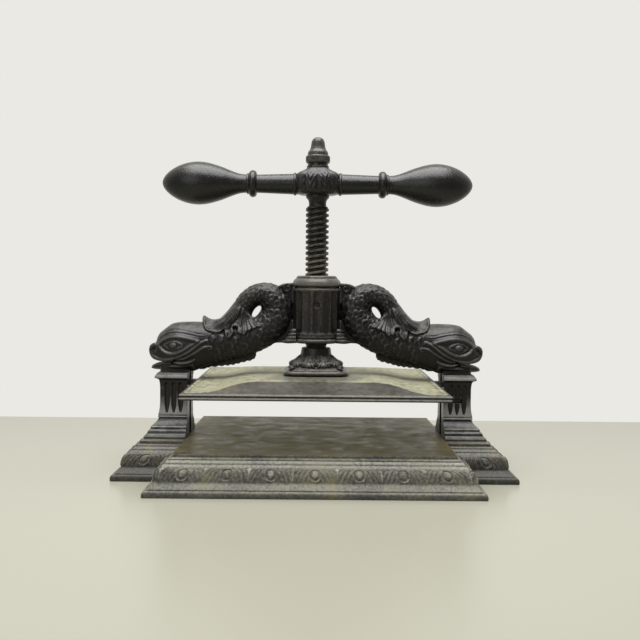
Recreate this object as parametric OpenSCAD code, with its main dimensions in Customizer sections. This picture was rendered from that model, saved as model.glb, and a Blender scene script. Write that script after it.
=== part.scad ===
// Copying press: cast-iron bed and feet, two fluted columns, two dolphin arms that carry a
// fluted nut boss, and a platen that a coarse two-start screw raises and lowers.
// Millimetres, +Z up. The origin is on the table, under the middle of the press, and the
// front faces -Y. The platen stands almost fully raised.

/* [Base casting] */
// Width over the two feet
foot_span = 530; // [500:1:580]
// Front to back length of a foot
foot_d = 193; // [170:1:220]
// Width of the bed at the table
bed_w = 416; // [410:1:440]
// Front to back length of the bed at the table
bed_d = 361; // [330:1:400]
// Height of the bed and the feet
base_h = 47; // [42:0.5:56]
// How far the moulding draws in from the table to the top edge
skirt_in = 33; // [28:0.5:38]
// Height of the flat slab round the bottom
slab_h = 8; // [5:0.5:11]
// Thickness of the iron in the bed
bed_wall = 10; // [7:0.5:12]

/* [Columns] */
// Distance between the flat inner faces of the columns
column_gap = 350; // [344:1:356]
// Width of a column shaft
shaft_w = 37.5; // [34:0.5:42]
// Front to back length of a column shaft
shaft_d = 52; // [46:0.5:60]
// Height of a column with its capital
column_h = 87; // [82:0.5:100]
// Height of the stepped foot of a column
column_foot_h = 28; // [22:0.5:32]
// How far the stepped foot spreads outwards
column_foot_out = 18; // [10:0.5:19]
// How far the stepped foot spreads to the front and the back
column_foot_front = 22; // [15:0.5:30]
// Height of a capital
capital_h = 10; // [7:0.5:13]
// How far a capital stands proud of the shaft
capital_out = 6.5; // [4:0.5:9]
// Width of a flute in a shaft
flute_w = 6; // [3:0.25:7]
// Width of the guide groove in a column's inner face
guide_w = 16; // [10:0.5:24]
// Depth of the guide groove
guide_depth = 5; // [3:0.25:7]

/* [Boss and nut] */
// Height of the boss's underside above the table
boss_z = 175; // [172:0.5:180]
// Height of the boss with its cap
boss_h = 93; // [88:0.5:105]
// Diameter of the boss's fluted drum
boss_dia = 67; // [62:0.5:70]
// Height of the rounded cap
boss_cap_h = 17; // [12:0.5:20]
// Number of places for flutes round the drum
boss_flutes = 14; // [12:2:18]
// Distance from the screw's axis to the faces that carry the tails
cheek_x = 36.5; // [36:0.5:40]
// Outside diameter of the nut
nut_dia = 46; // [42:0.5:50]
// Height of the nut
nut_h = 65; // [50:0.5:70]

/* [Screw and handle] */
// Outside diameter of the screw
screw_dia = 32; // [28:0.5:35]
// Diameter of the plain journal in the socket
journal_dia = 28; // [24:0.5:30]
// Side of the square that the handle sits on
square_w = 18; // [14:0.5:20]
// Height of the handle's axis above the table
handle_z = 394; // [385:1:405]
// Length of the handle over its bulbs
handle_l = 428; // [400:1:460]
// Diameter of the handle bar at the hub
bar_dia = 28; // [24:0.5:30]
// Largest diameter of a bulb
bulb_dia = 59; // [52:0.5:66]
// Length of a bulb with its neck
bulb_l = 116; // [100:1:125]
// Diameter of the bead next to a bulb
bead_dia = 37; // [32:0.5:42]
// Height of the finial nut
finial_h = 36; // [30:0.5:44]
// Diameter of the finial nut's collar
finial_dia = 33; // [30:0.5:38]
// Diameter of the screw's top end, inside the finial nut
finial_bore = 15; // [10:0.5:17]

/* [Platen and socket] */
// Width of the platen
platen_w = 333; // [315:1:340]
// Front to back length of the platen
platen_d = 319; // [290:1:350]
// Clear height between the bed and the raised platen
daylight = 67.5; // [60:0.5:72]
// Thickness of the platen's edge
platen_edge = 8; // [6:0.5:11]
// Thickness of the platen's raised middle
platen_mid = 17; // [15:0.5:19]
// Width of the platen's raised middle
platen_mid_w = 160; // [120:1:190]
// Front to back length of the platen's raised middle
platen_mid_d = 190; // [150:1:230]
// Side of the socket's square foot
socket_w = 90; // [86:0.5:100]
// Thickness of the socket's foot
socket_foot_h = 11; // [8:0.5:13]
// Height of the socket with its foot
socket_h = 37; // [34:0.5:38.5]
// Diameter of the socket's neck
socket_neck = 43; // [38:0.5:46]
// Diameter of the leafy skirt where it meets the foot
socket_skirt = 73; // [66:0.5:78]

/* [Fasteners and fits] */
// Diameter of the bolts that hold the columns down
foot_bolt_dia = 12; // [8:0.5:14]
// Diameter of the studs in the dolphins' jaws
jaw_stud_dia = 14; // [11:0.5:16]
// Diameter of the studs between the tails and the boss
tail_stud_dia = 10; // [7:0.5:12]
// Diameter of the screws in the socket's foot
socket_screw_dia = 6; // [4:0.25:7]
// Width of a cotter
cotter_w = 11; // [7:0.25:12]
// Height of a cotter
cotter_h = 4.5; // [3:0.25:5.5]
// Radial clearance of a turning or sliding fit
run_clear = 0.05; // [0.02:0.01:0.08]
// Clearance round a piece that is fixed in its hole
fix_clear = 0.1; // [0.05:0.01:0.3]
// Free gap between faces that pass each other
free_gap = 0.5; // [0.3:0.1:1]

/* [Hidden] */
$fn = 64;
overlap = 1;
iron = "#3b3a37";
dusty_iron = "#6f6c60";
steel = "#8b8880";
bronze = "#9a7b4f";

// Base moulding
slab_step = 5;
slab_round = 1.5;
slab_line_h = 1;
slope_short = 5;
fillet_short = 2;
band_foot_in = 12.5;
band_foot_h = 6.5;
band_draw = 6;
above_band_h = 15;
fillet_h = 1.8;
rim_h = 4;
pocket_draft = 22;
pocket_low_in = 12;
pocket_h = base_h - bed_wall;

// Columns
col_in = column_gap / 2;
col_out = col_in + shaft_w;
col_x = col_in + shaft_w / 2;
col_top = base_h + column_h;
column_fillet_h = 4;
foot_step_z = [0.42, 0.55];
foot_step_out = [0.93, 0.63, 0.57, 0.5, 0.08];
foot_wave = 0.05;
foot_bead_out = 0.12;
foot_bead_h = 2;
cap_neck_out = 0.3;
cap_neck_h = 1;
cap_low_share = 0.35;
cap_high_share = 0.45;
cap_top_out = 0.5;
flute_end_gap = 7;
flute_depth = 0.75;
flutes_per_face = 3;

// Foot bolts: the head bears on a round pad inside the foot
bolt_pad_dia = 3 * foot_bolt_dia;
washer_dia = 2.4 * foot_bolt_dia;
washer_h = 2.5;
bolt_head_dia = 1.9 * foot_bolt_dia;
bolt_head_h = 0.7 * foot_bolt_dia;
bolt_head_z = 6;
bolt_pad_z = bolt_head_z + bolt_head_h + washer_h;
bolt_reach = 30;

// Jaw studs and their cotters
stud_down = 46;
stud_up = 30;
cotter_drop = 36;
cotter_back = 12;
cotter_sunk = 4;
cotter_slot_w = cotter_w + 2 * fix_clear;
cotter_slot_h = cotter_h + 2 * fix_clear;
stud_end_gap = 2;

// Boss
boss_top = boss_z + boss_h;
boss_r = boss_dia / 2;
cap_z = boss_top - boss_cap_h;
ring_h = 7;
cheek_d = 22;
cheek_low = boss_z + ring_h;
curl_r = 8;
curl_d = cheek_d - 8;
scroll_r = 3.2;
scroll_ribs = 3;
scroll_pitch = 5.6;
scroll_lean = 1.2;
scroll_d = cheek_d + 10;
scroll_taper = 3;
ring_r = 2.2;
ring_in = 0.8;
ring_z = 4.2;
ring_foot_in = 3.5;
drum_edge = 1.5;
cap_groove = 2.5;
cap_groove_h = 1.6;
cap_edge_h = 3;
cap_top_h = 1.5;
cap_top_r = 0.78 * boss_r;
drum_flute_r = 3;
drum_flute_out = 0.4 * drum_flute_r;
drum_flute_view = 60;
drum_flute_end = 5;
nut_r = nut_dia / 2;
set_screw_dia = 8;
set_screw_z = boss_z + nut_h - 12;
set_screw_bite = 2;
set_screw_sunk = 1.5;
set_slot = [1.4, 1.2];

// Tail studs
tail_stud_in = 10;
tail_stud_out = 18;
tail_stud_rise = [24, 56];
tail_hole_l = tail_stud_out + stud_end_gap;

// Platen
platen_z = base_h + daylight;
platen_top = platen_z + platen_mid;
ogee_w = 65;
ogee_steps = 12;
border_rise = 1;
border_h = platen_edge + border_rise;
rim_w = 9;
rim_rise = 1.5;
edge_flat = 4.5;
edge_line_h = 1.2;
edge_line_d = 1;
tongue_w = guide_w - 2 * free_gap;
tongue_l = col_in + guide_depth - free_gap - platen_w / 2;

// Socket, thrust disc and thrust collar
socket_top = platen_top + socket_h;
socket_corner = 16;
leaf_h = 16.5;
leaf_tip_out = 0.5;
leaf_tip_h = 2;
leaf_curl = [4.5, 6.5];
leaf_slope = 8.3;
skirt_core_in = 4;
neck_draft = 1;
neck_edge = 1;
socket_screw_inset = 12;
screw_head_h = 3.2;
screw_head_share = [1.8, 1.2];
head_slot = [1.2, 1];
screw_bite = 9;
disc_wider = 8;
disc_dia = journal_dia + disc_wider;
disc_h = 5;
disc_sunk = 3;
collar_h = 9;
collar_wall = 7;
collar_dia = journal_dia + 2 * collar_wall;
collar_pin_dia = 5;
collar_pin_short = 1;
collar_room = 1;
end_gap = 0.3;
disc_top = platen_top - disc_sunk + disc_h;
screw_end = disc_top + end_gap;
collar_up = 2;
collar_z = screw_end + collar_up;
collar_room_top = collar_z + collar_h + end_gap;

// Screw above the socket
thread_gap = 4;
thread_low = socket_top + thread_gap;
thread_run_in = 2;
thread_depth = 1.5;
journal_edge = 1;
neck_h = 11;
collar_lip = 4;
hub_drop = 15;
hub_low = handle_z - hub_drop;
thread_high = hub_low - collar_lip - neck_h;
neck_dia = 0.75 * screw_dia;
hub_h = 40;
hub_top = hub_low + hub_h;
square_short = 1;
washer_top_h = 3.5;
finial_z = hub_top + washer_top_h;
finial_thread = 0.5 * finial_h;
washer_in = 2.5;
finial_edge = 1;
finial_collar = 0.3 * finial_h;
finial_shoulder = 0.48 * finial_h;
finial_neck = 0.76 * finial_h;
shoulder_share = [0.86, 0.8];
dome_share = 0.56;

// Handle
hub_reach = 33;
sleeve_r = bar_dia / 2 + 2;
hub_r = 25;
hub_waist = 0.6;
hub_belly_h = 17;
hub_lip = 1;
hub_neck_r = 17;
hub_neck_h = 10;
hub_ring_h = 4;
hub_line = 1.5;
hub_line_h = 0.8;
hub_edge = 1;
bar_taper = 1.6;
bead_w = 10;
bead_spread = 1.1;
bead_step_w = 3.5;
bead_step_r = 14.3;
bulb_neck_r = 12.7;
bulb_widest = 0.58;
bulb_rise = 1.65;
bulb_blunt = 1.6;
bulb_steps = 20;
half_handle = handle_l / 2;
bulb_x = half_handle - bulb_l;
bead_x = bulb_x - bead_step_w - bead_w;

// Dolphin, drawn from the jaw's seat: u runs towards the boss, y across and v up. It was drawn for a
// span of 158.5, a depth of 52 and a rise of 134, and is scaled to those of the arch.
fish_scale = [(col_x - cheek_x) / 158.5, shaft_d / 52, (boss_top - col_top) / 134];
web_r = 20;
web_d = 26;
hole_at = [111.4, 83.4];
hole_size = [4.3, 9.6];
hole_tilt = -35;
jaw_r = 6;
throat_r = 7.5;
jaw_block_in = 6;
jaw_block_h = 10;
eye_r = 7;
belly_fin_d = 14;
tail_web_d = 22;
fish_sides = 18;
fish_steps = 3;
tail_steps = 2;

// Shapes and curves used by several pieces

// An outline that is the same on both sides of the middle, from a list of [half width, height]
function both_sides(side) = concat(
    side,
    [for (i = [len(side) - 1:-1:0]) [-side[i][0], side[i][1]]]
);

// A block whose front, back and side views are two outlines: both give its mitred edges
module two_view_block(front_view, side_view, w, d) {
    intersection() {
        rotate([90, 0, 0]) linear_extrude(d, center = true) polygon(front_view);
        rotate([90, 0, 90]) linear_extrude(w, center = true) polygon(side_view);
    }
}

// A point on the smooth curve through b and c, with neighbours a and d, at share t
function curve_point(a, b, c, d, t) =
    0.5 * (2 * b + (c - a) * t
        + (2 * a - 5 * b + 4 * c - d) * t * t
        + (3 * b - a - 3 * c + d) * t * t * t);

// The smooth curve through a list of stations, with n points from each station to the next
function smooth(p, n) = let (last = len(p) - 1) concat(
    [for (i = [0:last - 1]) for (k = [0:n - 1])
        curve_point(p[max(i - 1, 0)], p[i], p[i + 1], p[min(i + 2, last)], k / n)],
    [p[last]]
);

// Base casting

// One side of the base moulding: slab, cavetto, egg-and-dart ovolo, slope, fillets and rim
function skirt(half) = let (
    band_low = slab_h + band_foot_h,
    band_high = base_h - above_band_h,
    slope_in = skirt_in - slope_short,
    fillet_in = skirt_in - fillet_short,
    slope_high = base_h - rim_h - 2 * fillet_h,
    inset = concat(
        [[slab_round / 2, 0], [0, slab_round], [0, slab_h - slab_round], [slab_round, slab_h]],
        [[slab_step, slab_h], [slab_step, slab_h + slab_line_h]],
        [for (a = [0:15:90]) [
            band_foot_in + band_draw * (1 - cos(a)),
            band_low + (band_high - band_low) * sin(a)
        ]],
        [[slope_in, slope_high], [slope_in, slope_high + fillet_h]],
        [[fillet_in, slope_high + fillet_h], [fillet_in, slope_high + 2 * fillet_h]],
        [[skirt_in, slope_high + 2 * fillet_h], [skirt_in, base_h]]
    )
) [for (p = inset) [half - p[0], p[1]]];

module moulded_block(w, d) {
    two_view_block(both_sides(skirt(w / 2)), both_sides(skirt(d / 2)), w, d);
}

// A pocket in the underside that narrows upwards, as the pattern has to draw
module draft_pocket(w, d, h) {
    low = overlap;
    slope = pocket_draft / pocket_h;
    side = function (half) [[half + slope * low, -low], [half - slope * h, h]];
    two_view_block(both_sides(side(w / 2)), both_sides(side(d / 2)), 2 * w, 2 * d);
}

module bed() {
    pocket_w = bed_w - 2 * pocket_low_in;
    pocket_edge = col_in - bed_wall / 2;
    foot_pocket_in = col_x - washer_dia / 2 - free_gap;
    foot_pocket_out = foot_span / 2 - skirt_in - bed_wall / 2;
    foot_pocket = [foot_pocket_out - foot_pocket_in, foot_d - 2 * skirt_in - bed_wall, pocket_h + overlap];
    color(dusty_iron) difference() {
        union() {
            moulded_block(bed_w, bed_d);
            moulded_block(foot_span, foot_d);
        }
        difference() {
            draft_pocket(pocket_w, bed_d - 2 * pocket_low_in, pocket_h);
            for (s = [-1, 1])
                translate([s * (pocket_edge + bed_w / 2), 0, 0])
                    cube([bed_w, bed_d, 3 * base_h], center = true);
        }
        for (s = [-1, 1]) {
            difference() {
                translate([s * (foot_pocket_in + foot_pocket_out) / 2, 0, (pocket_h - overlap) / 2])
                    cube(foot_pocket, center = true);
                translate([s * col_x, 0, bolt_pad_z]) cylinder(d = bolt_pad_dia, h = base_h);
            }
            translate([s * col_x, 0, -overlap])
                cylinder(d = foot_bolt_dia + 2 * fix_clear, h = base_h + 2 * overlap);
        }
    }
}

// Columns: one pattern, used on the right and turned half round on the left

// How far the column stands out past its shaft at each height: stepped foot, shaft, capital
function column_side(spread, cap) = let (
    out = [for (share = foot_step_out) share * spread],
    step_1 = base_h + column_fillet_h,
    step_2 = base_h + foot_step_z[0] * column_foot_h,
    step_3 = base_h + foot_step_z[1] * column_foot_h,
    neck = base_h + column_foot_h,
    bead_low = neck - foot_bead_h,
    bead_out = foot_bead_out * spread,
    cap_low = col_top - capital_h
) concat(
    [[spread, base_h], [spread, step_1], [out[0], step_1]],
    [for (t = [0.25:0.25:1]) [
        out[0] + (out[1] - out[0]) * t - foot_wave * spread * sin(360 * t),
        step_1 + (step_2 - step_1) * t
    ]],
    [[out[2], step_2], [out[2], step_3], [out[3], step_3]],
    [for (t = [0.25:0.25:1]) [
        out[4] + (out[3] - out[4]) * pow(1 - t, 2),
        step_3 + (bead_low - step_3) * t
    ]],
    [[bead_out, bead_low], [bead_out, neck], [0, neck]],
    [[0, cap_low], [cap_neck_out * cap, cap_low + cap_neck_h], [cap, cap_low + cap_low_share * capital_h]],
    [[cap, col_top - cap_high_share * capital_h], [cap_top_out * cap, col_top]]
);

module flute(low, high) {
    r = flute_w / 2;
    translate([0, 0, low + r]) cylinder(r = r, h = high - low - 2 * r);
    for (z = [low + r, high - r]) translate([0, 0, z]) sphere(r = r);
}

module column() {
    front = concat(
        [[col_in, col_top], [col_in, base_h]],
        [for (p = column_side(column_foot_out, capital_out)) [col_out + p[0], p[1]]]
    );
    side = [for (p = column_side(column_foot_front, capital_out)) [shaft_d / 2 + p[0], p[1]]];
    flute_low = base_h + column_foot_h + flute_end_gap;
    flute_high = col_top - capital_h - flute_end_gap / 2;
    proud = flute_w / 2 - flute_depth * flute_w / 2;
    color(iron) difference() {
        two_view_block(front, both_sides(side), 2 * foot_span, foot_d);
        // Flutes on the front, the back and the outer side
        for (i = [1:flutes_per_face]) {
            for (s = [-1, 1])
                translate([col_in + i * shaft_w / (flutes_per_face + 1), s * (shaft_d / 2 + proud), 0])
                    flute(flute_low, flute_high);
            translate([col_out + proud, (i / (flutes_per_face + 1) - 0.5) * shaft_d, 0])
                flute(flute_low, flute_high);
        }
        // Guide groove for the platen's tongue
        translate([col_in - overlap, -guide_w / 2, base_h - overlap])
            cube([guide_depth + overlap, guide_w, column_h + 2 * overlap]);
        // Hole for the foot bolt, hole for the jaw stud and slot for its cotter
        translate([col_x, 0, base_h - overlap])
            cylinder(d = foot_bolt_dia + 2 * fix_clear, h = bolt_reach + stud_end_gap + overlap);
        translate([col_x, 0, col_top - stud_down - stud_end_gap])
            cylinder(d = jaw_stud_dia + 2 * fix_clear, h = stud_down + stud_end_gap + overlap);
        translate([col_x - cotter_slot_w / 2, -shaft_d, col_top - cotter_drop - cotter_slot_h / 2])
            cube([cotter_slot_w, shaft_d + cotter_back + fix_clear, cotter_slot_h]);
    }
}

module right_column() {
    column();
}

module left_column() {
    rotate([0, 0, 180]) column();
}

module each_column() {
    children();
    rotate([0, 0, 180]) children();
}

module foot_bolts() {
    color(steel) each_column() translate([col_x, 0, bolt_head_z]) {
        cylinder(d = bolt_head_dia, h = bolt_head_h, $fn = 6);
        cylinder(d = foot_bolt_dia, h = base_h + bolt_reach - bolt_head_z);
    }
}

module foot_washers() {
    color(steel) each_column() translate([col_x, 0, bolt_pad_z - washer_h]) difference() {
        cylinder(d = washer_dia, h = washer_h);
        translate([0, 0, -overlap])
            cylinder(d = foot_bolt_dia + 2 * fix_clear, h = washer_h + 2 * overlap);
    }
}

module jaw_studs() {
    color(steel) each_column() difference() {
        translate([col_x, 0, col_top - stud_down]) cylinder(d = jaw_stud_dia, h = stud_down + stud_up);
        translate([col_x, 0, col_top - cotter_drop])
            cube([cotter_slot_w, 2 * jaw_stud_dia, cotter_slot_h], center = true);
    }
}

module jaw_cotters() {
    front = -shaft_d / 2 + cotter_sunk;
    color(steel) each_column()
        translate([col_x - cotter_w / 2, front, col_top - cotter_drop - cotter_h / 2])
            cube([cotter_w, cotter_back - front, cotter_h]);
}

// Dolphins

// Stations along the body from the snout to the top of the loop, and along the tail from there
// to the fan on the back: [u, v, half height, half thickness]
body_line = [
    [-38, 27, 2, 3], [-36, 27, 6, 9], [-31, 27, 9.5, 15], [-26, 27, 14.5, 19.5],
    [-17.5, 28.7, 28.3, 24.5], [-3.5, 30, 36, 28], [11, 32.7, 36.9, 29.5], [27, 36, 34, 28.5],
    [47, 39, 30, 27],
    [69, 42, 27, 25.5], [91, 46.5, 25.5, 24.5], [111, 53, 24, 24], [128, 63.5, 22.5, 23.5],
    [138.5, 78, 20.5, 22.5], [140.5, 93, 18.5, 21.5], [132.5, 104.5, 17.5, 20]
];
tail_line = [
    [141, 96, 17, 20], [132.5, 105, 17.5, 19.5], [117, 108.5, 15.5, 18], [101, 101.5, 14.3, 17],
    [90.5, 88.5, 14, 17], [79, 75, 13, 18], [66, 64.5, 11.5, 20], [53, 57.5, 9, 20], [43, 54, 4, 12]
];

// A point of the dolphin in the part's own place, mirrored by the left arm
function fish(u, y, v) = [u * fish_scale[0] - col_x, y * fish_scale[1], col_top + v * fish_scale[2]];

// The skin round a line of stations: an oval ring square to the line at each step
module skin(line, steps) {
    path = smooth(line, steps);
    last = len(path) - 1;
    n = fish_sides;
    rings = [for (i = [0:last]) let (
        p = path[i],
        q = path[min(i + 1, last)] - path[max(i - 1, 0)],
        run = norm([q[0], q[1]]),
        side = [-q[1] / run, q[0] / run]
    ) for (k = [0:n - 1]) let (a = 360 * k / n, r = p[2] * cos(a))
        fish(p[0] + side[0] * r, p[3] * sin(a), p[1] + side[1] * r)];
    walls = [for (i = [0:last - 1]) for (k = [0:n - 1]) let (
        a = i * n + k, b = i * n + (k + 1) % n
    ) each [[a, b, a + n], [b, b + n, a + n]]];
    ends = [
        [for (k = [n - 1:-1:0]) k],
        [for (k = [0:n - 1]) last * n + k]
    ];
    polyhedron(rings, concat(walls, ends), convexity = 6);
}

// A row of round beads of changing size, drawn together into one roll
module roll(points, r, sides = 8) {
    for (i = [0:len(points) - 2]) hull() for (j = [i, i + 1])
        translate(fish(points[j][0], points[j][1], points[j][2]))
            sphere(r = fish_scale[1] * r[min(j, len(r) - 1)], $fn = sides);
}

// The same roll on the front and the back of the fish
module roll_pair(points, r, sides = 8) {
    for (s = [-1, 1]) roll([for (p = points) [p[0], s * p[1], p[2]]], r, sides);
}

// Flat shape in the fish's side view, of a given thickness
module fin(points, thickness) {
    rotate([90, 0, 0]) linear_extrude(thickness, center = true)
        polygon([for (p = points) let (q = fish(p[0], 0, p[1])) [q[0], q[2]]]);
}

module dolphin() {
    // Lobes of the tail fan, each from its root on the loop to its end on the neck: [u, y, v]
    lobes = [
        [[90, 14, 88], [66, 24, 68], [45, 23, 61]], [[90, 14, 86], [70, 26, 66], [57, 27, 54]],
        [[90, 14, 84], [77, 26, 65], [71, 27.5, 49]], [[94, 12, 80], [92, 25, 66], [90, 27, 50]],
        [[97, 12, 78], [104, 24, 65], [107, 26, 54]], [[100, 12, 76], [112, 22, 68], [120, 24, 62]]
    ];
    difference() {
        union() {
            skin(body_line, fish_steps);
            skin(tail_line, tail_steps);
            // Web that fills the loop round its small eye-shaped hole
            translate(fish(hole_at[0], 0, hole_at[1])) rotate([90, 0, 0])
                cylinder(r = web_r, h = web_d, center = true, $fn = 20);
            // Lower jaw and the block that stands on the capital
            hull() {
                for (y = [-12, 12]) translate(fish(-28, y, jaw_r)) sphere(r = jaw_r, $fn = 14);
                for (y = [-24, 24]) translate(fish(15, y, 8)) sphere(r = throat_r, $fn = 14);
                translate([-col_x, 0, col_top + jaw_block_h / 2])
                    cube([shaft_w, shaft_d - jaw_block_in, jaw_block_h], center = true);
            }
            // Rolled lips, lids, eye and the curled line of the cheek
            roll_pair(
                [[-37, 0, 21.5], [-32, 11, 20], [-22, 20, 18], [-4, 27, 19], [10, 29, 24]],
                [4, 4, 3.6, 3, 2]
            );
            roll_pair([[-30, 0, 9], [-26, 13, 9], [-14, 22, 10], [2, 27, 12]], [4, 3.8, 3.2, 2]);
            roll_pair([[-22, 18, 38], [-10, 25, 47], [4, 28, 46], [15, 29, 37]], [2, 3, 3, 1.5]);
            roll_pair([[-13, 25, 33], [0, 28, 29], [12, 29, 33]], [1.5, 2.5, 1.5]);
            for (s = [-1, 1]) translate(fish(0, s * 25.5, 38)) sphere(r = eye_r, $fn = 14);
            roll_pair(
                [[10, 29, 24], [26, 29.5, 30], [44, 28.5, 42], [50, 27.5, 48], [46, 28, 51]],
                [2, 3.4, 3.2, 2.6, 2]
            );
            // Tail fan on the neck, with its raised tip
            for (points = lobes) roll_pair(points, [5, 7.5, 3.4]);
            roll([[64, 0, 68], [50, 0, 66], [43, 0, 69], [37.5, 0, 75]], [6, 5.5, 3.6, 1.8]);
            // Belly fin with its saw edge
            fin([[18, 6], [30, 2.6], [38, 2], [44, 5], [63.5, 7.4], [78, 9], [92, 12.7], [107.5, 17],
                 [110.4, 22], [106, 27], [112, 30], [120, 44], [60, 40], [20, 30]], belly_fin_d);
            // Webs above and below the tail, where it comes up to the boss
            fin([[138, 117], [146, 120], [150.5, 122.6], [161, 124], [161, 95], [136, 95]], tail_web_d);
            fin([[119, 31.5], [126, 34.6], [133, 37.8], [139, 40.4], [161, 41], [161, 75], [125, 60]],
                tail_web_d);
        }
        // Hole in the loop
        translate(fish(hole_at[0], 0, hole_at[1])) rotate([90, 0, 0])
            linear_extrude(2 * shaft_d, center = true)
                rotate(hole_tilt) scale(hole_size) circle(r = 1, $fn = 20);
        // Open mouth
        fin([[-60, 9], [-60, 21], [-30, 15.5], [10, 16], [-30, 13]], 4 * shaft_d);
        // Flat seat on the capital
        translate([-2 * foot_span, -foot_d, col_top - base_h]) cube([4 * foot_span, 2 * foot_d, base_h]);
        // Flat seat against the boss
        translate([-cheek_x, -foot_d, 0]) cube([foot_span, 2 * foot_d, 2 * boss_top]);
        // Holes for the jaw stud and the tail studs
        translate([-col_x, 0, col_top - overlap])
            cylinder(d = jaw_stud_dia + 2 * free_gap, h = stud_up + stud_end_gap + overlap, $fn = 32);
        for (z = tail_stud_rise)
            translate([-cheek_x - tail_hole_l, 0, boss_z + z]) rotate([0, 90, 0])
                cylinder(d = tail_stud_dia + 2 * free_gap, h = tail_hole_l + overlap, $fn = 32);
    }
}

module left_dolphin() {
    color(iron) dolphin();
}

module right_dolphin() {
    color(iron) mirror([1, 0, 0]) dolphin();
}

// Boss, nut and their fixings

module boss_turning() {
    foot_r = boss_r - ring_foot_in;
    groove_r = boss_r - cap_groove;
    rotate_extrude() polygon(concat(
        [[0, boss_z], [foot_r, boss_z], [foot_r + drum_edge, boss_z + drum_edge]],
        [for (a = [-60:30:60]) [boss_r - ring_in + ring_r * cos(a), boss_z + ring_z + ring_r * sin(a)]],
        [[boss_r - drum_edge, boss_z + ring_h], [boss_r, boss_z + ring_h + drum_edge]],
        [[boss_r, cap_z - cap_groove_h - 1], [groove_r, cap_z - cap_groove_h], [groove_r, cap_z]],
        [[boss_r, cap_z + 1]],
        [for (a = [0:15:90]) [
            cap_top_r + (boss_r - cap_top_r) * cos(a),
            cap_z + cap_edge_h + (boss_cap_h - cap_edge_h - cap_top_h) * sin(a)
        ]],
        [[cap_top_r, boss_top], [0, boss_top]]
    ));
}

module nut_boss() {
    flute_turn = 360 / boss_flutes;
    flutes_in_view = floor(drum_flute_view / flute_turn);
    flute_low = boss_z + ring_h + drum_flute_end;
    flute_high = cap_z - drum_flute_end;
    color(iron) difference() {
        union() {
            boss_turning();
            for (s = [-1, 1]) {
                // Cheek that carries the tail, with a curl above and a ribbed scroll below
                translate([s * cheek_x / 2, 0, (cheek_low + cap_z) / 2])
                    cube([cheek_x, cheek_d, cap_z - cheek_low], center = true);
                translate([s * (cheek_x - curl_r), 0, cap_z]) rotate([90, 0, 0])
                    cylinder(r = curl_r, h = curl_d, center = true);
                for (i = [0:scroll_ribs - 1])
                    translate([s * (cheek_x - scroll_r - scroll_lean * i), 0, cheek_low + i * scroll_pitch])
                        rotate([90, 0, 0])
                            cylinder(r = scroll_r, h = scroll_d - scroll_taper * i, center = true);
            }
        }
        // Flutes on the front and the back of the drum
        for (turn = [0, 180]) for (i = [-flutes_in_view:flutes_in_view])
            rotate([0, 0, turn + i * flute_turn]) translate([0, -boss_r - drum_flute_out, 0]) {
                translate([0, 0, flute_low]) cylinder(r = drum_flute_r, h = flute_high - flute_low);
                for (z = [flute_low, flute_high]) translate([0, 0, z]) sphere(r = drum_flute_r);
            }
        // Seat of the nut, way through for the screw, holes for the set screw and the studs
        translate([0, 0, boss_z - overlap]) cylinder(d = nut_dia + 2 * fix_clear, h = nut_h + overlap);
        translate([0, 0, boss_z]) cylinder(d = screw_dia + 2 * free_gap, h = boss_h + overlap);
        translate([0, 0, set_screw_z]) rotate([90, 0, 0])
            cylinder(d = set_screw_dia + 2 * fix_clear, h = boss_dia);
        for (s = [-1, 1]) for (z = tail_stud_rise)
            translate([s * cheek_x, 0, boss_z + z]) rotate([0, -s * 90, 0]) translate([0, 0, -overlap])
                cylinder(d = tail_stud_dia + 2 * fix_clear, h = tail_stud_in + fix_clear + overlap);
    }
}

module tail_studs() {
    color(steel) for (s = [-1, 1]) for (z = tail_stud_rise)
        translate([s * (cheek_x - tail_stud_in), 0, boss_z + z]) rotate([0, s * 90, 0])
            cylinder(d = tail_stud_dia, h = tail_stud_in + tail_stud_out);
}

module screw_nut() {
    color(bronze) difference() {
        translate([0, 0, boss_z]) cylinder(d = nut_dia, h = nut_h);
        translate([0, 0, boss_z - overlap])
            cylinder(d = screw_dia + 2 * run_clear, h = nut_h + 2 * overlap);
        translate([0, -nut_r + set_screw_bite + fix_clear, set_screw_z]) rotate([90, 0, 0])
            cylinder(d = set_screw_dia + 2 * fix_clear, h = nut_dia);
    }
}

module nut_set_screw() {
    front = boss_r - drum_flute_r + drum_flute_out - set_screw_sunk;
    back = nut_r - set_screw_bite;
    color(steel) translate([0, -back, set_screw_z]) rotate([90, 0, 0]) difference() {
        cylinder(d = set_screw_dia, h = front - back);
        translate([0, 0, front - back])
            cube([2 * set_screw_dia, set_slot[0], 2 * set_slot[1]], center = true);
    }
}

// Platen and the socket that joins it to the screw

// Top of the platen from side to side: flat middle, ogee, border and rim
function platen_front() = let (
    half = platen_w / 2,
    mid = platen_mid_w / 2,
    rim_z = platen_z + platen_edge + rim_rise,
    border_z = platen_z + border_h
) concat(
    [[half, platen_z], [half, rim_z], [half - rim_w, rim_z], [half - rim_w, border_z]],
    [for (i = [0:ogee_steps]) let (t = i / ogee_steps) [
        mid + ogee_w * (1 - t),
        border_z + (platen_top - border_z) * (t - sin(360 * t) / (2 * PI))
    ]]
);

// Top of the platen from front to back: edge with its line, long slope and flat middle
function platen_side() = let (
    half = platen_d / 2,
    line_z = platen_z + platen_edge / 2,
    line_top = line_z + edge_line_h
) [
    [half, platen_z], [half, line_z], [half - edge_line_d, line_z], [half - edge_line_d, line_top],
    [half, line_top], [half, platen_z + platen_edge], [half - edge_flat, platen_z + border_h],
    [platen_mid_d / 2, platen_top]
];

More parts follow.
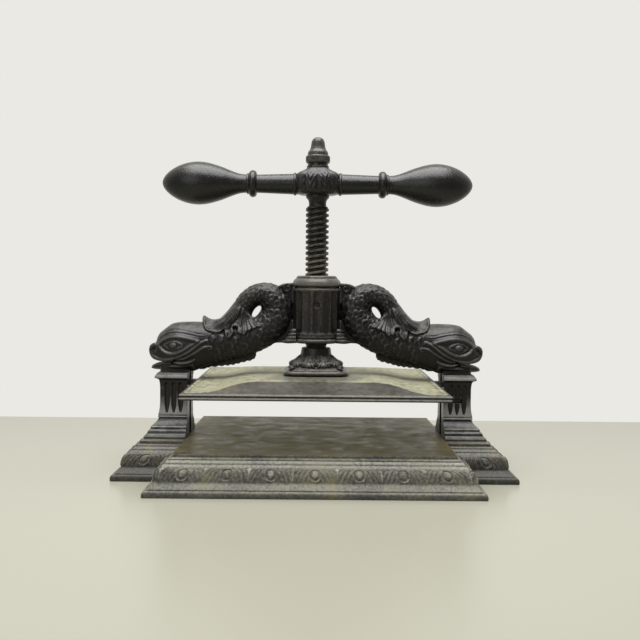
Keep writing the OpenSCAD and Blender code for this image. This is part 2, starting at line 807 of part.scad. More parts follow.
module platen() {
    color(dusty_iron) difference() {
        union() {
            two_view_block(both_sides(platen_front()), both_sides(platen_side()), platen_w, platen_d);
            for (s = [-1, 1])
                translate([s * (platen_w / 2 + tongue_l / 2 - rim_w), 0, platen_z + platen_edge / 2])
                    cube([tongue_l + 2 * rim_w, tongue_w, platen_edge], center = true);
        }
        translate([0, 0, platen_top - disc_sunk]) cylinder(d = disc_dia + 2 * fix_clear, h = platen_mid);
        socket_corners() translate([0, 0, platen_top - screw_bite - stud_end_gap])
            cylinder(d = socket_screw_dia + 2 * fix_clear, h = platen_mid);
    }
}

module socket_corners() {
    at = socket_w / 2 - socket_screw_inset;
    for (x = [-at, at]) for (y = [-at, at]) translate([x, y, 0]) children();
}

// Square foot with a half-round edge and cut corners
module socket_foot() {
    r = socket_foot_h / 2;
    edge = both_sides([for (a = [-90:15:90]) [socket_w / 2 - r + r * cos(a), platen_top + r + r * sin(a)]]);
    intersection() {
        two_view_block(edge, edge, socket_w, socket_w);
        translate([0, 0, platen_top]) rotate([0, 0, 45]) {
            side = socket_w * sqrt(2) - socket_corner;
            translate([-side / 2, -side / 2, 0]) cube([side, side, socket_foot_h]);
        }
    }
}

module screw_socket() {
    skirt_z = platen_top + socket_foot_h;
    neck_r = socket_neck / 2;
    skirt_r = socket_skirt / 2;
    core_r = skirt_r - skirt_core_in;
    leaf_top = skirt_z + leaf_h;
    tip_r = skirt_r + leaf_tip_out - leaf_curl[0];
    tip_z = skirt_z + leaf_tip_h;
    color(iron) difference() {
        union() {
            socket_foot();
            rotate_extrude() polygon(concat(
                [[0, platen_top + overlap], [core_r, platen_top + overlap], [core_r, skirt_z]],
                [[skirt_r, skirt_z]],
                [for (a = [0:15:90]) [tip_r + leaf_curl[0] * cos(a), tip_z + leaf_curl[1] * sin(a)]],
                [[neck_r + leaf_slope, tip_z + leaf_curl[1]], [neck_r, leaf_top]],
                [[neck_r - neck_draft, socket_top - neck_edge]],
                [[neck_r - neck_draft - neck_edge, socket_top], [0, socket_top]]
            ));
        }
        translate([0, 0, platen_top]) cylinder(d = journal_dia + 2 * run_clear, h = socket_h + overlap);
        translate([0, 0, platen_top - overlap])
            cylinder(d = collar_dia + 2 * collar_room, h = collar_room_top - platen_top + overlap);
        socket_corners() translate([0, 0, platen_top - overlap])
            cylinder(d = socket_screw_dia + 2 * fix_clear, h = 2 * socket_foot_h);
    }
}

module socket_screws() {
    color(steel) socket_corners() translate([0, 0, platen_top + socket_foot_h]) difference() {
        union() {
            translate([0, 0, -socket_foot_h - screw_bite])
                cylinder(d = socket_screw_dia, h = socket_foot_h + screw_bite + screw_head_h / 2);
            cylinder(
                d1 = screw_head_share[0] * socket_screw_dia,
                d2 = screw_head_share[1] * socket_screw_dia,
                h = screw_head_h
            );
        }
        translate([0, 0, screw_head_h])
            cube([2 * socket_screw_dia, head_slot[0], 2 * head_slot[1]], center = true);
    }
}

module thrust_disc() {
    color(steel) translate([0, 0, platen_top - disc_sunk]) cylinder(d = disc_dia, h = disc_h);
}

module thrust_collar() {
    color(steel) difference() {
        translate([0, 0, collar_z]) cylinder(d = collar_dia, h = collar_h);
        translate([0, 0, collar_z - overlap])
            cylinder(d = journal_dia + 2 * fix_clear, h = collar_h + 2 * overlap);
        translate([0, 0, collar_z + collar_h / 2]) rotate([0, 90, 0])
            cylinder(d = collar_pin_dia + 2 * fix_clear, h = 2 * collar_dia, center = true);
    }
}

module collar_pin() {
    color(steel) translate([0, 0, collar_z + collar_h / 2]) rotate([0, 90, 0])
        cylinder(d = collar_pin_dia, h = collar_dia - 2 * collar_pin_short, center = true);
}

// Screw, handle and finial

module press_screw() {
    r = screw_dia / 2;
    journal_r = journal_dia / 2;
    neck_r = neck_dia / 2;
    color(steel) difference() {
        union() {
            rotate_extrude() polygon(concat(
                [[0, screw_end], [journal_r - journal_edge, screw_end]],
                [[journal_r, screw_end + journal_edge], [journal_r, thread_low - thread_run_in]],
                [[r - thread_depth, thread_low]],
                [[r, thread_low + thread_run_in], [r, thread_high - thread_run_in], [neck_r, thread_high]],
                [for (t = [0.2:0.2:1]) [neck_r + (r - neck_r) * t * t, thread_high + neck_h * t]],
                [[r, hub_low], [0, hub_low]]
            ));
            translate([-square_w / 2, -square_w / 2, hub_low - overlap])
                cube([square_w, square_w, hub_h - square_short + overlap]);
            translate([0, 0, hub_low]) cylinder(d = finial_bore, h = hub_h + washer_top_h + finial_thread);
        }
        translate([0, 0, collar_z + collar_h / 2]) rotate([0, 90, 0])
            cylinder(d = collar_pin_dia + 2 * fix_clear, h = 2 * collar_dia, center = true);
    }
}

// Half outline of the bar from the hub to the end: taper, bead and step, neck and pear-shaped bulb
function bar_side() = concat(
    [[0, 0], [0, bar_dia / 2], [hub_reach, bar_dia / 2], [bead_x, bar_dia / 2 - bar_taper]],
    [for (a = [150:-15:30]) [
        bead_x + bead_w / 2 * (1 + bead_spread * cos(a)),
        bead_dia / 2 - bead_w / 2 + bead_w / 2 * sin(a)
    ]],
    [[bulb_x - bead_step_w, bead_step_r], [bulb_x - hub_edge, bead_step_r]],
    [for (i = [0:bulb_steps]) let (t = i / bulb_steps, x = bulb_l * (1 - cos(180 * t)) / 2)
        [bulb_x + x, bulb_radius(x / bulb_l)]]
);

// Radius of the bulb at a share of its length: widest past the middle, with a blunt end
function bulb_radius(t) = let (
    low = pow(sin(90 * min(t / bulb_widest, 1)), bulb_rise),
    end = sqrt(max(0, 1 - pow(max(t - bulb_widest, 0) / (1 - bulb_widest), bulb_blunt)))
) t < bulb_widest
    ? bulb_neck_r + (bulb_dia / 2 - bulb_neck_r) * low
    : bulb_dia / 2 * end;

module handle() {
    ring_top = hub_top - hub_neck_h + hub_ring_h;
    line_r = hub_neck_r - hub_line;
    top_r = hub_neck_r - 2 * hub_edge;
    color(iron) difference() {
        union() {
            translate([0, 0, handle_z]) for (turn = [0, 180]) rotate([0, 0, turn]) rotate([0, 90, 0])
                rotate_extrude() polygon([for (p = bar_side()) [p[1], p[0]]]);
            // Sleeves where the bar leaves the hub
            translate([0, 0, handle_z]) rotate([0, 90, 0])
                cylinder(r = sleeve_r, h = 2 * hub_reach, center = true);
            // Hub with its ringed neck
            rotate_extrude() polygon(concat(
                [[0, hub_low], [screw_dia / 2 + hub_lip, hub_low]],
                [for (a = [-50:10:60]) [
                    hub_r * (hub_waist + (1 - hub_waist) * cos(a)),
                    handle_z + hub_belly_h * sin(a)
                ]],
                [[hub_neck_r, hub_top - hub_neck_h], [hub_neck_r, ring_top]],
                [[line_r, ring_top + hub_line_h], [line_r, ring_top + 2 * hub_line_h]],
                [[top_r, ring_top + 3 * hub_line_h], [top_r, hub_top - hub_edge]],
                [[top_r - hub_edge, hub_top], [0, hub_top]]
            ));
        }
        // Square hole, and the flat seat on the screw's collar
        translate([-square_w / 2 - fix_clear, -square_w / 2 - fix_clear, hub_low - overlap])
            cube([square_w + 2 * fix_clear, square_w + 2 * fix_clear, hub_h + 2 * overlap]);
        translate([0, 0, hub_low - hub_h]) cylinder(d = 2 * screw_dia, h = hub_h);
    }
}

module finial_washer() {
    color(steel) translate([0, 0, hub_top]) difference() {
        cylinder(d = finial_dia - 2 * washer_in, h = washer_top_h);
        translate([0, 0, -overlap])
            cylinder(d = finial_bore + 2 * fix_clear, h = washer_top_h + 2 * overlap);
    }
}

module finial_nut() {
    r = finial_dia / 2;
    shoulder_r = shoulder_share * r;
    dome_r = dome_share * r;
    color(steel) translate([0, 0, finial_z]) difference() {
        rotate_extrude() polygon(concat(
            [[0, 0], [r - finial_edge, 0], [r, finial_edge], [r, finial_collar - finial_edge]],
            [[r - finial_edge, finial_collar], [shoulder_r[0], finial_collar + finial_edge / 2]],
            [[shoulder_r[0], finial_shoulder - 2 * finial_edge], [shoulder_r[1], finial_shoulder]],
            [for (t = [0.2:0.2:0.8]) [
                dome_r + (shoulder_r[1] - dome_r) * pow(1 - t, 2),
                finial_shoulder + (finial_neck - finial_shoulder) * t
            ]],
            [for (a = [0:15:75]) [dome_r * cos(a), finial_neck + (finial_h - finial_neck) * sin(a)]],
            [[0, finial_h]]
        ));
        translate([0, 0, -overlap])
            cylinder(d = finial_bore + 2 * fix_clear, h = finial_thread + stud_end_gap + overlap);
    }
}

bed();
left_column();
right_column();
foot_bolts();
foot_washers();
left_dolphin();
right_dolphin();
jaw_studs();
jaw_cotters();
nut_boss();
tail_studs();
screw_nut();
nut_set_screw();
platen();
screw_socket();
socket_screws();
thrust_disc();
press_screw();
thrust_collar();
collar_pin();
handle();
finial_washer();
finial_nut();
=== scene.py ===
"""Looks of a dolphin-arm copying press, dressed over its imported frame. Lengths are in millimetres."""
import math

import bmesh
import bpy
import numpy as np
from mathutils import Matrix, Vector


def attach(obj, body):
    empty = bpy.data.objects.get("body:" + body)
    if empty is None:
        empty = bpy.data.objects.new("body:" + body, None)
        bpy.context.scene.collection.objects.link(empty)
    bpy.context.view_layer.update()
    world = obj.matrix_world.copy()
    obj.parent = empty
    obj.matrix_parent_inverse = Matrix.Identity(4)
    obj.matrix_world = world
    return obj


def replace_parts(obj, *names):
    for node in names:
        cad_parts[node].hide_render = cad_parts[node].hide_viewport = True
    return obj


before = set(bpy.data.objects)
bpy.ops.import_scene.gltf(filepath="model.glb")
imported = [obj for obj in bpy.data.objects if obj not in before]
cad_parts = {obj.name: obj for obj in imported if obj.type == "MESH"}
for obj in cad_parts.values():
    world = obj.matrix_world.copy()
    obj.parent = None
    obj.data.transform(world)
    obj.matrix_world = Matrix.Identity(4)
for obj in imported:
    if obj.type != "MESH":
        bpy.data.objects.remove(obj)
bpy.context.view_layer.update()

# Bed and feet: one sand casting in grey iron, a pressing table with a foot at each side, under one
# run of egg-and-dart moulding. Its paint has gone, so it is brown and grey with dirt, dust and rust.
MM = 0.001
WELD = 0.002 * MM
BED_HALF = np.array([208.0, 180.5])
FOOT_HALF = np.array([265.0, 96.5])
EGG_PITCH = 53.2
CARVED_INSET = 15.0
SLAB_TOP, NOSING = 8.3, 2.0
TABLE_HALF = np.array([174.6, 147.2])
TABLE_FACE, TABLE_UNDER = 47.06, 46.4


def linear(colour):
    """An sRGB hex colour as the linear colour that a shader takes."""
    share = np.array([int(colour[i:i + 2], 16) for i in (1, 3, 5)]) / 255
    value = np.where(share <= 0.04045, share / 12.92, ((share + 0.055) / 1.055) ** 2.4)
    return (*value.tolist(), 1.0)


def add(tree, kind, inputs=(), out=0, **settings):
    """Adds one node and gives one of its outputs. Settings go on the node, and each input is a value or
    the socket that feeds it."""
    node = tree.nodes.new(kind)
    for name, value in settings.items():
        setattr(node, name, value)
    for name, value in dict(inputs).items():
        if isinstance(value, bpy.types.NodeSocket):
            tree.links.new(value, node.inputs[name])
        else:
            node.inputs[name].default_value = value
    return node.outputs[out]


def cast_iron(name, dark, light, worn, dust, rust, worn_share, dust_share, rust_share, gloss, shine,
              streak=(1.0, 1.0), even=0.0, mottle=0.0, matte=0.1, spot_mm=9.0, film="#ffffff",
              pit_mm=0.35):
    """Sand-cast iron: clouds of two tones, raised edges rubbed light to a third, which also paints
    highlights, dirt and painted shade in the hollows, dust lying on what faces up, which on the black
    lacquers also paints top light, rust in spots, and the grain of the moulding sand as bump. The mesh's
    relief attribute, from -1 in a hollow to 1 on a ridge, says where hands and dirt get to and where
    highlight and shade are painted, and its clean attribute where no dust lies. Streak draws the tones
    out along X and Y, and even dust has few bare spots. Mottle puts the fine spots into the tones and the
    sheen too, matte is what dust adds to the roughness, film is the tint that a skin of old oil gives to
    what it reflects, and pit_mm is the depth of the grain."""
    material = bpy.data.materials.new(name)
    material.use_nodes = True
    tree = material.node_tree
    shader = tree.nodes["Principled BSDF"].inputs
    place = add(tree, "ShaderNodeTexCoord", out="Object")
    drawn = add(tree, "ShaderNodeVectorMath", {0: place, 1: (1 / streak[0], 1 / streak[1], 1)},
                operation="MULTIPLY")
    # The sand's grain is a third of a millimetre, too fine to show, so it is drawn five times as coarse.
    grain_mm, cloud_mm = 1.7, 48.0
    grain, spots, clouds = [
        add(tree, "ShaderNodeTexNoise",
            {"Vector": where, "Scale": 1000 / size, "Detail": detail, "Roughness": 0.66})
        for where, size, detail in ((place, grain_mm, 3.0), (drawn, spot_mm, 5.0), (drawn, cloud_mm, 5.0))]
    relief, clean = [add(tree, "ShaderNodeAttribute", out="Fac", attribute_name=mark)
                     for mark in ("relief", "clean")]
    normal = add(tree, "ShaderNodeNewGeometry", out="Normal")
    facing_up = add(tree, "ShaderNodeSeparateXYZ", {0: normal}, out="Z")

    mixed = add(tree, "ShaderNodeMath", {0: spots, 1: mottle, 2: clouds}, operation="MULTIPLY_ADD")
    middle, reach = 0.5 + 0.5 * mottle, 0.14 + 0.07 * mottle
    tone = add(tree, "ShaderNodeMapRange",
               {"Value": mixed, "From Min": middle - reach, "From Max": middle + reach})
    # Ridges are lightened as wear and as painted highlight, hollows darkened as dirt and as painted shade,
    # and dust on what faces up also paints top light.
    rubbed_and_highlit = add(tree, "ShaderNodeMath", {0: spots, 1: 0.9, 2: relief}, operation="MULTIPLY_ADD")
    rubbed_and_highlit = add(tree, "ShaderNodeMapRange",
                 {"Value": rubbed_and_highlit, "From Min": 0.62, "From Max": 1.25, "To Max": worn_share})
    hollow = add(tree, "ShaderNodeMapRange",
                 {"Value": relief, "From Min": -0.1, "From Max": -0.9, "To Max": 0.75})
    lying = add(tree, "ShaderNodeMapRange", {"Value": facing_up, "From Min": 0.25, "From Max": 0.95})
    patchy = add(tree, "ShaderNodeMapRange",
                 {"Value": spots, "From Min": 0.34 - 0.3 * even, "From Max": 0.62 - 0.12 * even})
    lying = add(tree, "ShaderNodeMath", {0: lying, 1: patchy}, operation="MULTIPLY")
    left = add(tree, "ShaderNodeMapRange", {"Value": clean, "To Min": dust_share, "To Max": 0.0})
    dust_and_top_light = add(tree, "ShaderNodeMath", {0: lying, 1: left}, operation="MULTIPLY", use_clamp=True)
    rusty = add(tree, "ShaderNodeMath", {0: spots, 1: clouds}, operation="MULTIPLY")
    rusty = add(tree, "ShaderNodeMapRange",
                {"Value": rusty, "From Min": 0.3, "From Max": 0.42, "To Max": rust_share})
    colour = linear(dark)
    dirt_and_shade = "#14120f"
    for share, shade in ((tone, light), (rubbed_and_highlit, worn), (hollow, dirt_and_shade), (dust_and_top_light, dust), (rusty, rust)):
        colour = add(tree, "ShaderNodeMix", {0: share, 6: colour, 7: linear(shade)}, out=2,
                     data_type="RGBA")
    tree.links.new(colour, shader["Base Color"])
    shader["Specular IOR Level"].default_value = shine
    shader["Specular Tint"].default_value = linear(film)

    rough = add(tree, "ShaderNodeMath", {0: dust_and_top_light, 1: matte, 2: gloss}, operation="MULTIPLY_ADD")
    rough = add(tree, "ShaderNodeMath", {0: spots, 1: 0.2 * mottle, 2: rough}, operation="MULTIPLY_ADD")
    rough = add(tree, "ShaderNodeMath", {0: grain, 1: 0.22, 2: rough}, operation="MULTIPLY_ADD",
                use_clamp=True)
    tree.links.new(rough, shader["Roughness"])
    sand = add(tree, "ShaderNodeMath", {0: spots, 1: 1.6, 2: grain}, operation="MULTIPLY_ADD")
    bump = add(tree, "ShaderNodeBump", {"Height": sand, "Strength": 0.4, "Distance": pit_mm * MM})
    tree.links.new(bump, shader["Normal"])
    return material


def mark_points(mesh, mark, values):
    """Gives each point of the mesh its number, as a named attribute."""
    numbers = np.ascontiguousarray(np.broadcast_to(values, len(mesh.vertices)), np.float32)
    mesh.attributes.new(mark, "FLOAT", "POINT").data.foreach_set("value", numbers)


def show(name, mesh, material, body):
    """Puts a mesh into the scene as a piece that rides on a body and takes its finish from a slot."""
    mesh.materials.clear()
    mesh.materials.append(material)
    made = bpy.data.objects.new(name, mesh)
    bpy.context.scene.collection.objects.link(made)
    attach(made, body)
    return made


def piece(name, sheets, material, body, crease=50, marks=None):
    """One object from closed sheets. A sheet is a grid of points whose cells become faces, and a seam
    or a pole is a row or column of points that fall together, which are welded. Marks name the mesh's
    attributes and give each a grid of numbers, or one number, for each sheet."""
    marks = marks or {}
    points, faces, values = [], [], {mark: [] for mark in marks}
    first = 0
    for k, sheet in enumerate(sheets):
        rows, columns = sheet.shape[:2]
        corner = first + np.arange(rows * columns).reshape(rows, columns)
        cells = np.stack([corner[:-1, :-1], corner[1:, :-1], corner[1:, 1:], corner[:-1, 1:]], -1)
        points.append(sheet.reshape(-1, 3))
        faces.append(cells.reshape(-1, 4))
        for mark in marks:
            values[mark].append(np.broadcast_to(marks[mark][k], (rows, columns)).ravel())
        first += rows * columns
    points, faces = np.concatenate(points) * MM, np.concatenate(faces)
    mesh = bpy.data.meshes.new(name)
    mesh.vertices.add(len(points))
    mesh.vertices.foreach_set("co", points.astype(np.float32).ravel())
    mesh.loops.add(faces.size)
    mesh.loops.foreach_set("vertex_index", faces.astype(np.int32).ravel())
    mesh.polygons.add(len(faces))
    mesh.polygons.foreach_set("loop_start", np.arange(0, faces.size, 4, dtype=np.int32))
    mesh.update(calc_edges=True)
    for mark in marks:
        mark_points(mesh, mark, np.concatenate(values[mark]))
    welded = bmesh.new()
    welded.from_mesh(mesh)
    bmesh.ops.remove_doubles(welded, verts=welded.verts, dist=WELD)
    bmesh.ops.recalc_face_normals(welded, faces=welded.faces)
    welded.to_mesh(mesh)
    welded.free()
    mesh.shade_smooth()
    mesh.set_sharp_from_angle(angle=math.radians(crease))
    return show(name, mesh, material, body)


def dress(material, *nodes):
    """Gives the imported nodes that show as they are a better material."""
    for name in nodes:
        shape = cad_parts[name].data
        shape.materials.clear()
        shape.materials.append(material)


def resample(profile, spacing):
    """Points about a spacing apart along a broken line, keeping its corners."""
    profile = np.asarray(profile, float)
    runs = [np.linspace(a, b, max(2, int(np.hypot(*(b - a)) / spacing) + 1))[:-1]
            for a, b in zip(profile[:-1], profile[1:])]
    return np.vstack([*runs, profile[-1:]])


def egg_and_dart(along, pitch, eggs, up):
    """Height of the carving over the ovolo. Each egg is a dome in a ring, and between two eggs stands
    a dart with slanting leaf ribs at both sides. Up runs from 0 at the ovolo's foot to 1 at its top."""
    across = ((along / pitch + eggs / 2) % 1.0 - 0.5) * pitch
    ring = np.hypot(across / 5.3, (up - 0.48) / 0.31)
    dome = 1.3 * np.sqrt(np.clip(1 - (ring / 0.92) ** 2, 0, 1))
    groove = 1.8 * np.exp(-((ring - 1.06) / 0.13) ** 2)
    rim = 1.3 * np.exp(-((ring - 1.38) / 0.17) ** 2)
    to_dart = pitch / 2 - np.abs(across)
    dart = 1.8 * np.exp(-(to_dart / (0.8 + 2.2 * up)) ** 2)
    slant = to_dart - 9.0 * up - 2.2 * up ** 2 + 0.9 * np.sin(0.071 * along)
    ribs = 0.8 * np.cos(2 * np.pi * slant / 5.6)
    leaf = np.clip((ring - 1.62) / 0.2, 0, 1) * np.clip((to_dart - 1.5) / 1.5, 0, 1)
    ends = np.clip(up / 0.1, 0, 1) * np.clip((1 - up) / 0.08, 0, 1)
    worn = 0.78 + 0.22 * np.sin(0.083 * along + 2.1 * np.sin(0.031 * along) + 4 * up)
    return (dome - groove + rim + dart + ribs * leaf) * ends * worn


def moulding():
    """The base moulding: its profile of [inset, height] carried round the cross-shaped plan with mitred
    corners. Corner i moves by its mitre as the profile draws in, and the carving moves the profile out
    and up. The wear and light table pairs an inset with a relief: edges lighter as wear and as painted
    highlight, and the recesses under them darker as painted shade. Gives the sheet, its relief and where
    it is clean."""
    spacing, step = 1.2, 1.35
    turn = np.radians(np.linspace(7, 90, 30))
    ovolo = np.column_stack([12.4 + 6 * (1 - np.cos(turn)), 14.5 + 17.5 * np.sin(turn)])
    lower = resample([
        [9.0, 0.6], [0.9, 0.05], [0.2, 0.6], [0.0, 1.8], [0.0, 3.6], [0.3, 5.4], [1.0, 6.8], [2.2, 7.8],
        [3.6, 8.2], [4.6, 8.1], [5.0, 7.7], [5.2, 9.3], [7.4, 11.1], [9.6, 13.2], [11.2, 15.0],
        ovolo[0]], spacing)[:-1]
    upper = resample([
        ovolo[-1], [19.0, 31.8], [19.6, 32.9], [23.2, 36.3], [23.7, 36.2], [24.1, 37.2], [27.3, 40.5],
        [28.0, 40.4], [28.2, 41.7], [29.6, 42.8], [30.7, 43.2], [31.9, 43.3], [32.3, 43.6], [32.4, 45.4],
        [32.8, 46.5], [33.6, 47.0], [35.4, 47.05], [36, 46.6]], spacing)[1:]
    back = np.array([[36.0, 40.0], [22.0, 30.0], [20.0, 12.0], [9.0, 7.6], [9.0, 0.6]])
    profile = np.vstack([lower, ovolo, upper, back])
    up = np.full(len(profile), -1.0)
    up[len(lower):len(lower) + len(ovolo)] = np.linspace(0, 1, len(ovolo))
    carved = up >= 0
    # Wear and painted light: edges lightened as wear and as painted highlight, the recesses under them
    # darkened as painted shade.
    wear_and_light = np.array([
        [0.0, -0.6], [0.3, -0.55], [2.0, -0.2], [3.6, 0.2], [4.5, -0.1], [5.0, -0.8], [5.4, -0.3],
        [7.4, -0.2], [18.5, 0.3], [19.1, -0.6], [19.9, 0.3], [23.0, 0.5], [23.7, -0.5], [24.4, 0.4],
        [27.2, 0.55], [27.9, -0.4], [28.4, 0.5], [30.0, 0.4], [31.2, -0.5], [32.4, -0.6], [33.0, 0.6],
        [34.6, 0.5]])
    edges = np.interp(profile[:, 0], *wear_and_light.T)
    tangent = np.gradient(profile, axis=0)
    outward = np.column_stack([-tangent[:, 1], tangent[:, 0]]) / np.hypot(*tangent.T)[:, None]
    (bed_x, bed_y), (foot_x, foot_y) = BED_HALF, FOOT_HALF
    corners = np.array([
        [-bed_x, -bed_y], [bed_x, -bed_y], [bed_x, -foot_y], [foot_x, -foot_y],
        [foot_x, foot_y], [bed_x, foot_y], [bed_x, bed_y], [-bed_x, bed_y],
        [-bed_x, foot_y], [-foot_x, foot_y], [-foot_x, -foot_y], [-bed_x, -foot_y]])
    mitres = -np.sign(corners)
    rows, marks, clean = [], [], []
    for i in range(len(corners)):
        j = (i + 1) % len(corners)
        carved_ends = [corners[k] + CARVED_INSET * mitres[k] for k in (i, j)]
        length = np.linalg.norm(carved_ends[1] - carved_ends[0])
        eggs = max(1, round(length / EGG_PITCH))
        pitch = min(EGG_PITCH, length / eggs)
        share = np.linspace(0, 1, int(length / step))[:, None]
        height = np.zeros((len(share), len(profile)))
        height[:, carved] = 0.25 + egg_and_dart((share - 0.5) * length, pitch, eggs, up[carved][None, :])
        inset = profile[:, 0] + height * outward[:, 0]
        level = profile[:, 1] + height * outward[:, 1]
        a, b = (corners[k] + inset[..., None] * mitres[k] for k in (i, j))
        plan = a + share[..., None] * (b - a)
        rows.append(np.dstack([plan, level]))
        on_foot = np.abs(plan[..., 1]) < foot_y + 0.5
        marks.append(np.where(carved, np.clip(height / 1.7 - 0.4, -1, 1), edges) - 0.75 * on_foot)
        clean.append(np.where(on_foot, 0.85, 0.35))
    return [np.vstack([*grid, grid[0][:1]]) for grid in (rows, marks, clean)]


def read(items, field, kind, width):
    """One field of a mesh's points or edges as an array, with that many numbers to a row."""
    values = np.empty(width * len(items), kind)
    items.foreach_get(field, values)
    return values.reshape(-1, width)


def bed_table(material):
    """The bed's own solid, copied and merged, with the square edge of its slab drawn in to both sides, so
    that the moulding's round nosing stands in front of it."""
    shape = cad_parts["bed"].data.copy()
    merged = bmesh.new()
    merged.from_mesh(shape)
    bmesh.ops.remove_doubles(merged, verts=merged.verts, dist=WELD)
    merged.to_mesh(shape)
    merged.free()
    points = read(shape.vertices, "co", np.float32, 3)
    plan = np.abs(points[:, :2]) / MM
    inset = np.maximum((BED_HALF - plan).min(1), (FOOT_HALF - plan).min(1))
    slab = (points[:, 2] < SLAB_TOP * MM) & (inset < 0.9 * NOSING)
    points[slab, :2] -= NOSING * MM * np.sign(points[slab, :2])
    shape.vertices.foreach_set("co", points.ravel())
    shape.update()
    mark_points(shape, "relief", -0.4)
    mark_points(shape, "clean", 0.8)
    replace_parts(show("bed_table", shape, material, "frame_unit"), "bed")


def ease(low, high, value):
    """A smooth step from 0 at low to 1 at high."""
    share = np.clip((value - low) / (high - low), 0, 1)
    return share * share * (3 - 2 * share)


def closed_tube(rings):
    """A tube of rings, drawn together to a point at both ends. Each ring ends where it starts."""
    ends = [np.broadcast_to(ring[:-1].mean(0), ring.shape)[None] for ring in (rings[0], rings[-1])]
    return np.concatenate([ends[0], rings, ends[1]])


def bed_top():
    """The worn pressing face: a thin sheet over the bed's top, closed below, with a slow wave of a few
    hundredths of a millimetre. Gives the sheet and its relief, which paints light and shade: the edges
    darker, most at the right, the middle lighter to offset the platen's shadow over it, and a darker band
    across the front half."""
    half_x, half_y = TABLE_HALF
    x, y = np.linspace(-half_x, half_x, 100)[None, :], np.linspace(-half_y, half_y, 84)[:, None]
    level = TABLE_FACE + 0.03 * np.sin(0.05 * x + 0.8 * np.sin(0.04 * y)) * np.sin(0.06 * y)
    inside = np.minimum(half_x - np.abs(x), half_y - np.abs(y))
    inside = inside + 12 * np.sin(0.045 * x + 1.0) * np.sin(0.03 * y + 0.4)
    drip = 0.25 * np.exp(-((y + 60 - 0.12 * x) / 14) ** 2)
    # Painted light: the edges darker, most at the right, and the middle lighter to offset the platen's
    # shadow.
    painted_light = 0.8 * (1 - ease(4, 80, inside)) - 0.5 * ease(60, 120, inside) + drip + 0.25 * ease(40, 160, x)
    face = np.dstack(np.broadcast_arrays(x, y, level))
    under = face * [1, 1, 0] + [0, 0, TABLE_UNDER]
    sheet = np.concatenate([under[:, ::-1], under[:, :1], face, under[:, -1:]], axis=1)
    relief = -np.concatenate([painted_light[:, ::-1], painted_light[:, :1], painted_light, painted_light[:, -1:]], axis=1)
    return closed_tube(sheet), closed_tube(relief)


# Bare grey iron with old dirt looks rough and dull, light where edges are rubbed and where highlights are
# painted, and ochre in spots.
bed_iron = cast_iron(
    "sand_cast_iron_bare_and_dirty", "#424140", "#7b796c", "#b4b3a8", "#878664", "#75622a",
    worn_share=0.75, dust_share=0.45, rust_share=0.6, gloss=0.22, shine=0.34, mottle=1.4, spot_mm=3.4)
# The same iron under oil and dust looks olive and brown, with a shine that comes and goes in patches.
bed_top_iron = cast_iron(
    "sand_cast_iron_olive_with_dust", "#2c2417", "#8f8150", "#a89f70", "#8d8660", "#5a3f24",
    worn_share=0.8, dust_share=0.4, rust_share=0.7, gloss=-0.12, shine=0.28, streak=(1.7, 1.4), mottle=4.2,
    spot_mm=14.0, film="#cfc08a", pit_mm=0.12)
# Its skin of settled dust scatters the light that skims over it, so it looks more olive at a low angle.
bed_haze = bed_top_iron.node_tree.nodes["Principled BSDF"].inputs
bed_haze["Sheen Weight"].default_value, bed_haze["Sheen Roughness"].default_value = 0.7, 0.45
bed_haze["Sheen Tint"].default_value = linear("#aea47c")
bed_skin, bed_marks, bed_clean = moulding()
piece("bed_moulding", [bed_skin], bed_iron, "frame_unit", crease=35,
      marks={"relief": [bed_marks], "clean": [bed_clean]})
bed_table(bed_iron)
bed_face, bed_top_painted_light = bed_top()
piece("bed_top", [bed_face], bed_top_iron, "frame_unit", crease=35,
      marks={"relief": [bed_top_painted_light], "clean": [np.clip(-2 * bed_top_painted_light, 0, 1)]})

# Columns: two fluted pillars from one pattern, cast in iron and painted black. A bolt from below
# holds each on its foot, and the dolphin's jaw stands on its capital.
SHAFT_IN, SHAFT_OUT, SHAFT_HALF = 175.0, 212.5, 26.0
FOOT_OUT, FOOT_FRONT, CAPITAL_OUT = 18.0, 22.0, 6.5
FLUTE_PITCH, FLUTE_HALF, FLUTE_DEPTH = 9.3, 3.3, 1.6
FLUTE_POINT, FLUTE_POINT_RUN, FLUTE_ROUND, FLUTE_ROUND_RUN = 78.0, 12.0, 116.5, 4.0
GUIDE_HALF, GUIDE_DEPTH = 8.0, 5.0
COTTER_HALF_W, COTTER_HALF_H, COTTER_Z, COTTER_DEPTH = 6.2, 3.0, 98.0, 10.0


def flute(across, number, level):
    """Depth of a row of flutes: hollow troughs side by side, round at the top and drawn to a spear's
    point below."""
    last = (number - 1) / 2
    place = np.clip(np.round(across / FLUTE_PITCH + last), 0, number - 1) - last
    half = FLUTE_HALF * np.sqrt(np.clip((level - FLUTE_POINT) / FLUTE_POINT_RUN, 0, 1))
    away = np.hypot((across - place * FLUTE_PITCH) / np.maximum(half, 0.05),
                    np.maximum(level - FLUTE_ROUND, 0) / FLUTE_ROUND_RUN)
    return FLUTE_DEPTH * np.sqrt(np.clip(1 - away ** 2, 0, 1)) * ease(0.2, 1.4, half)


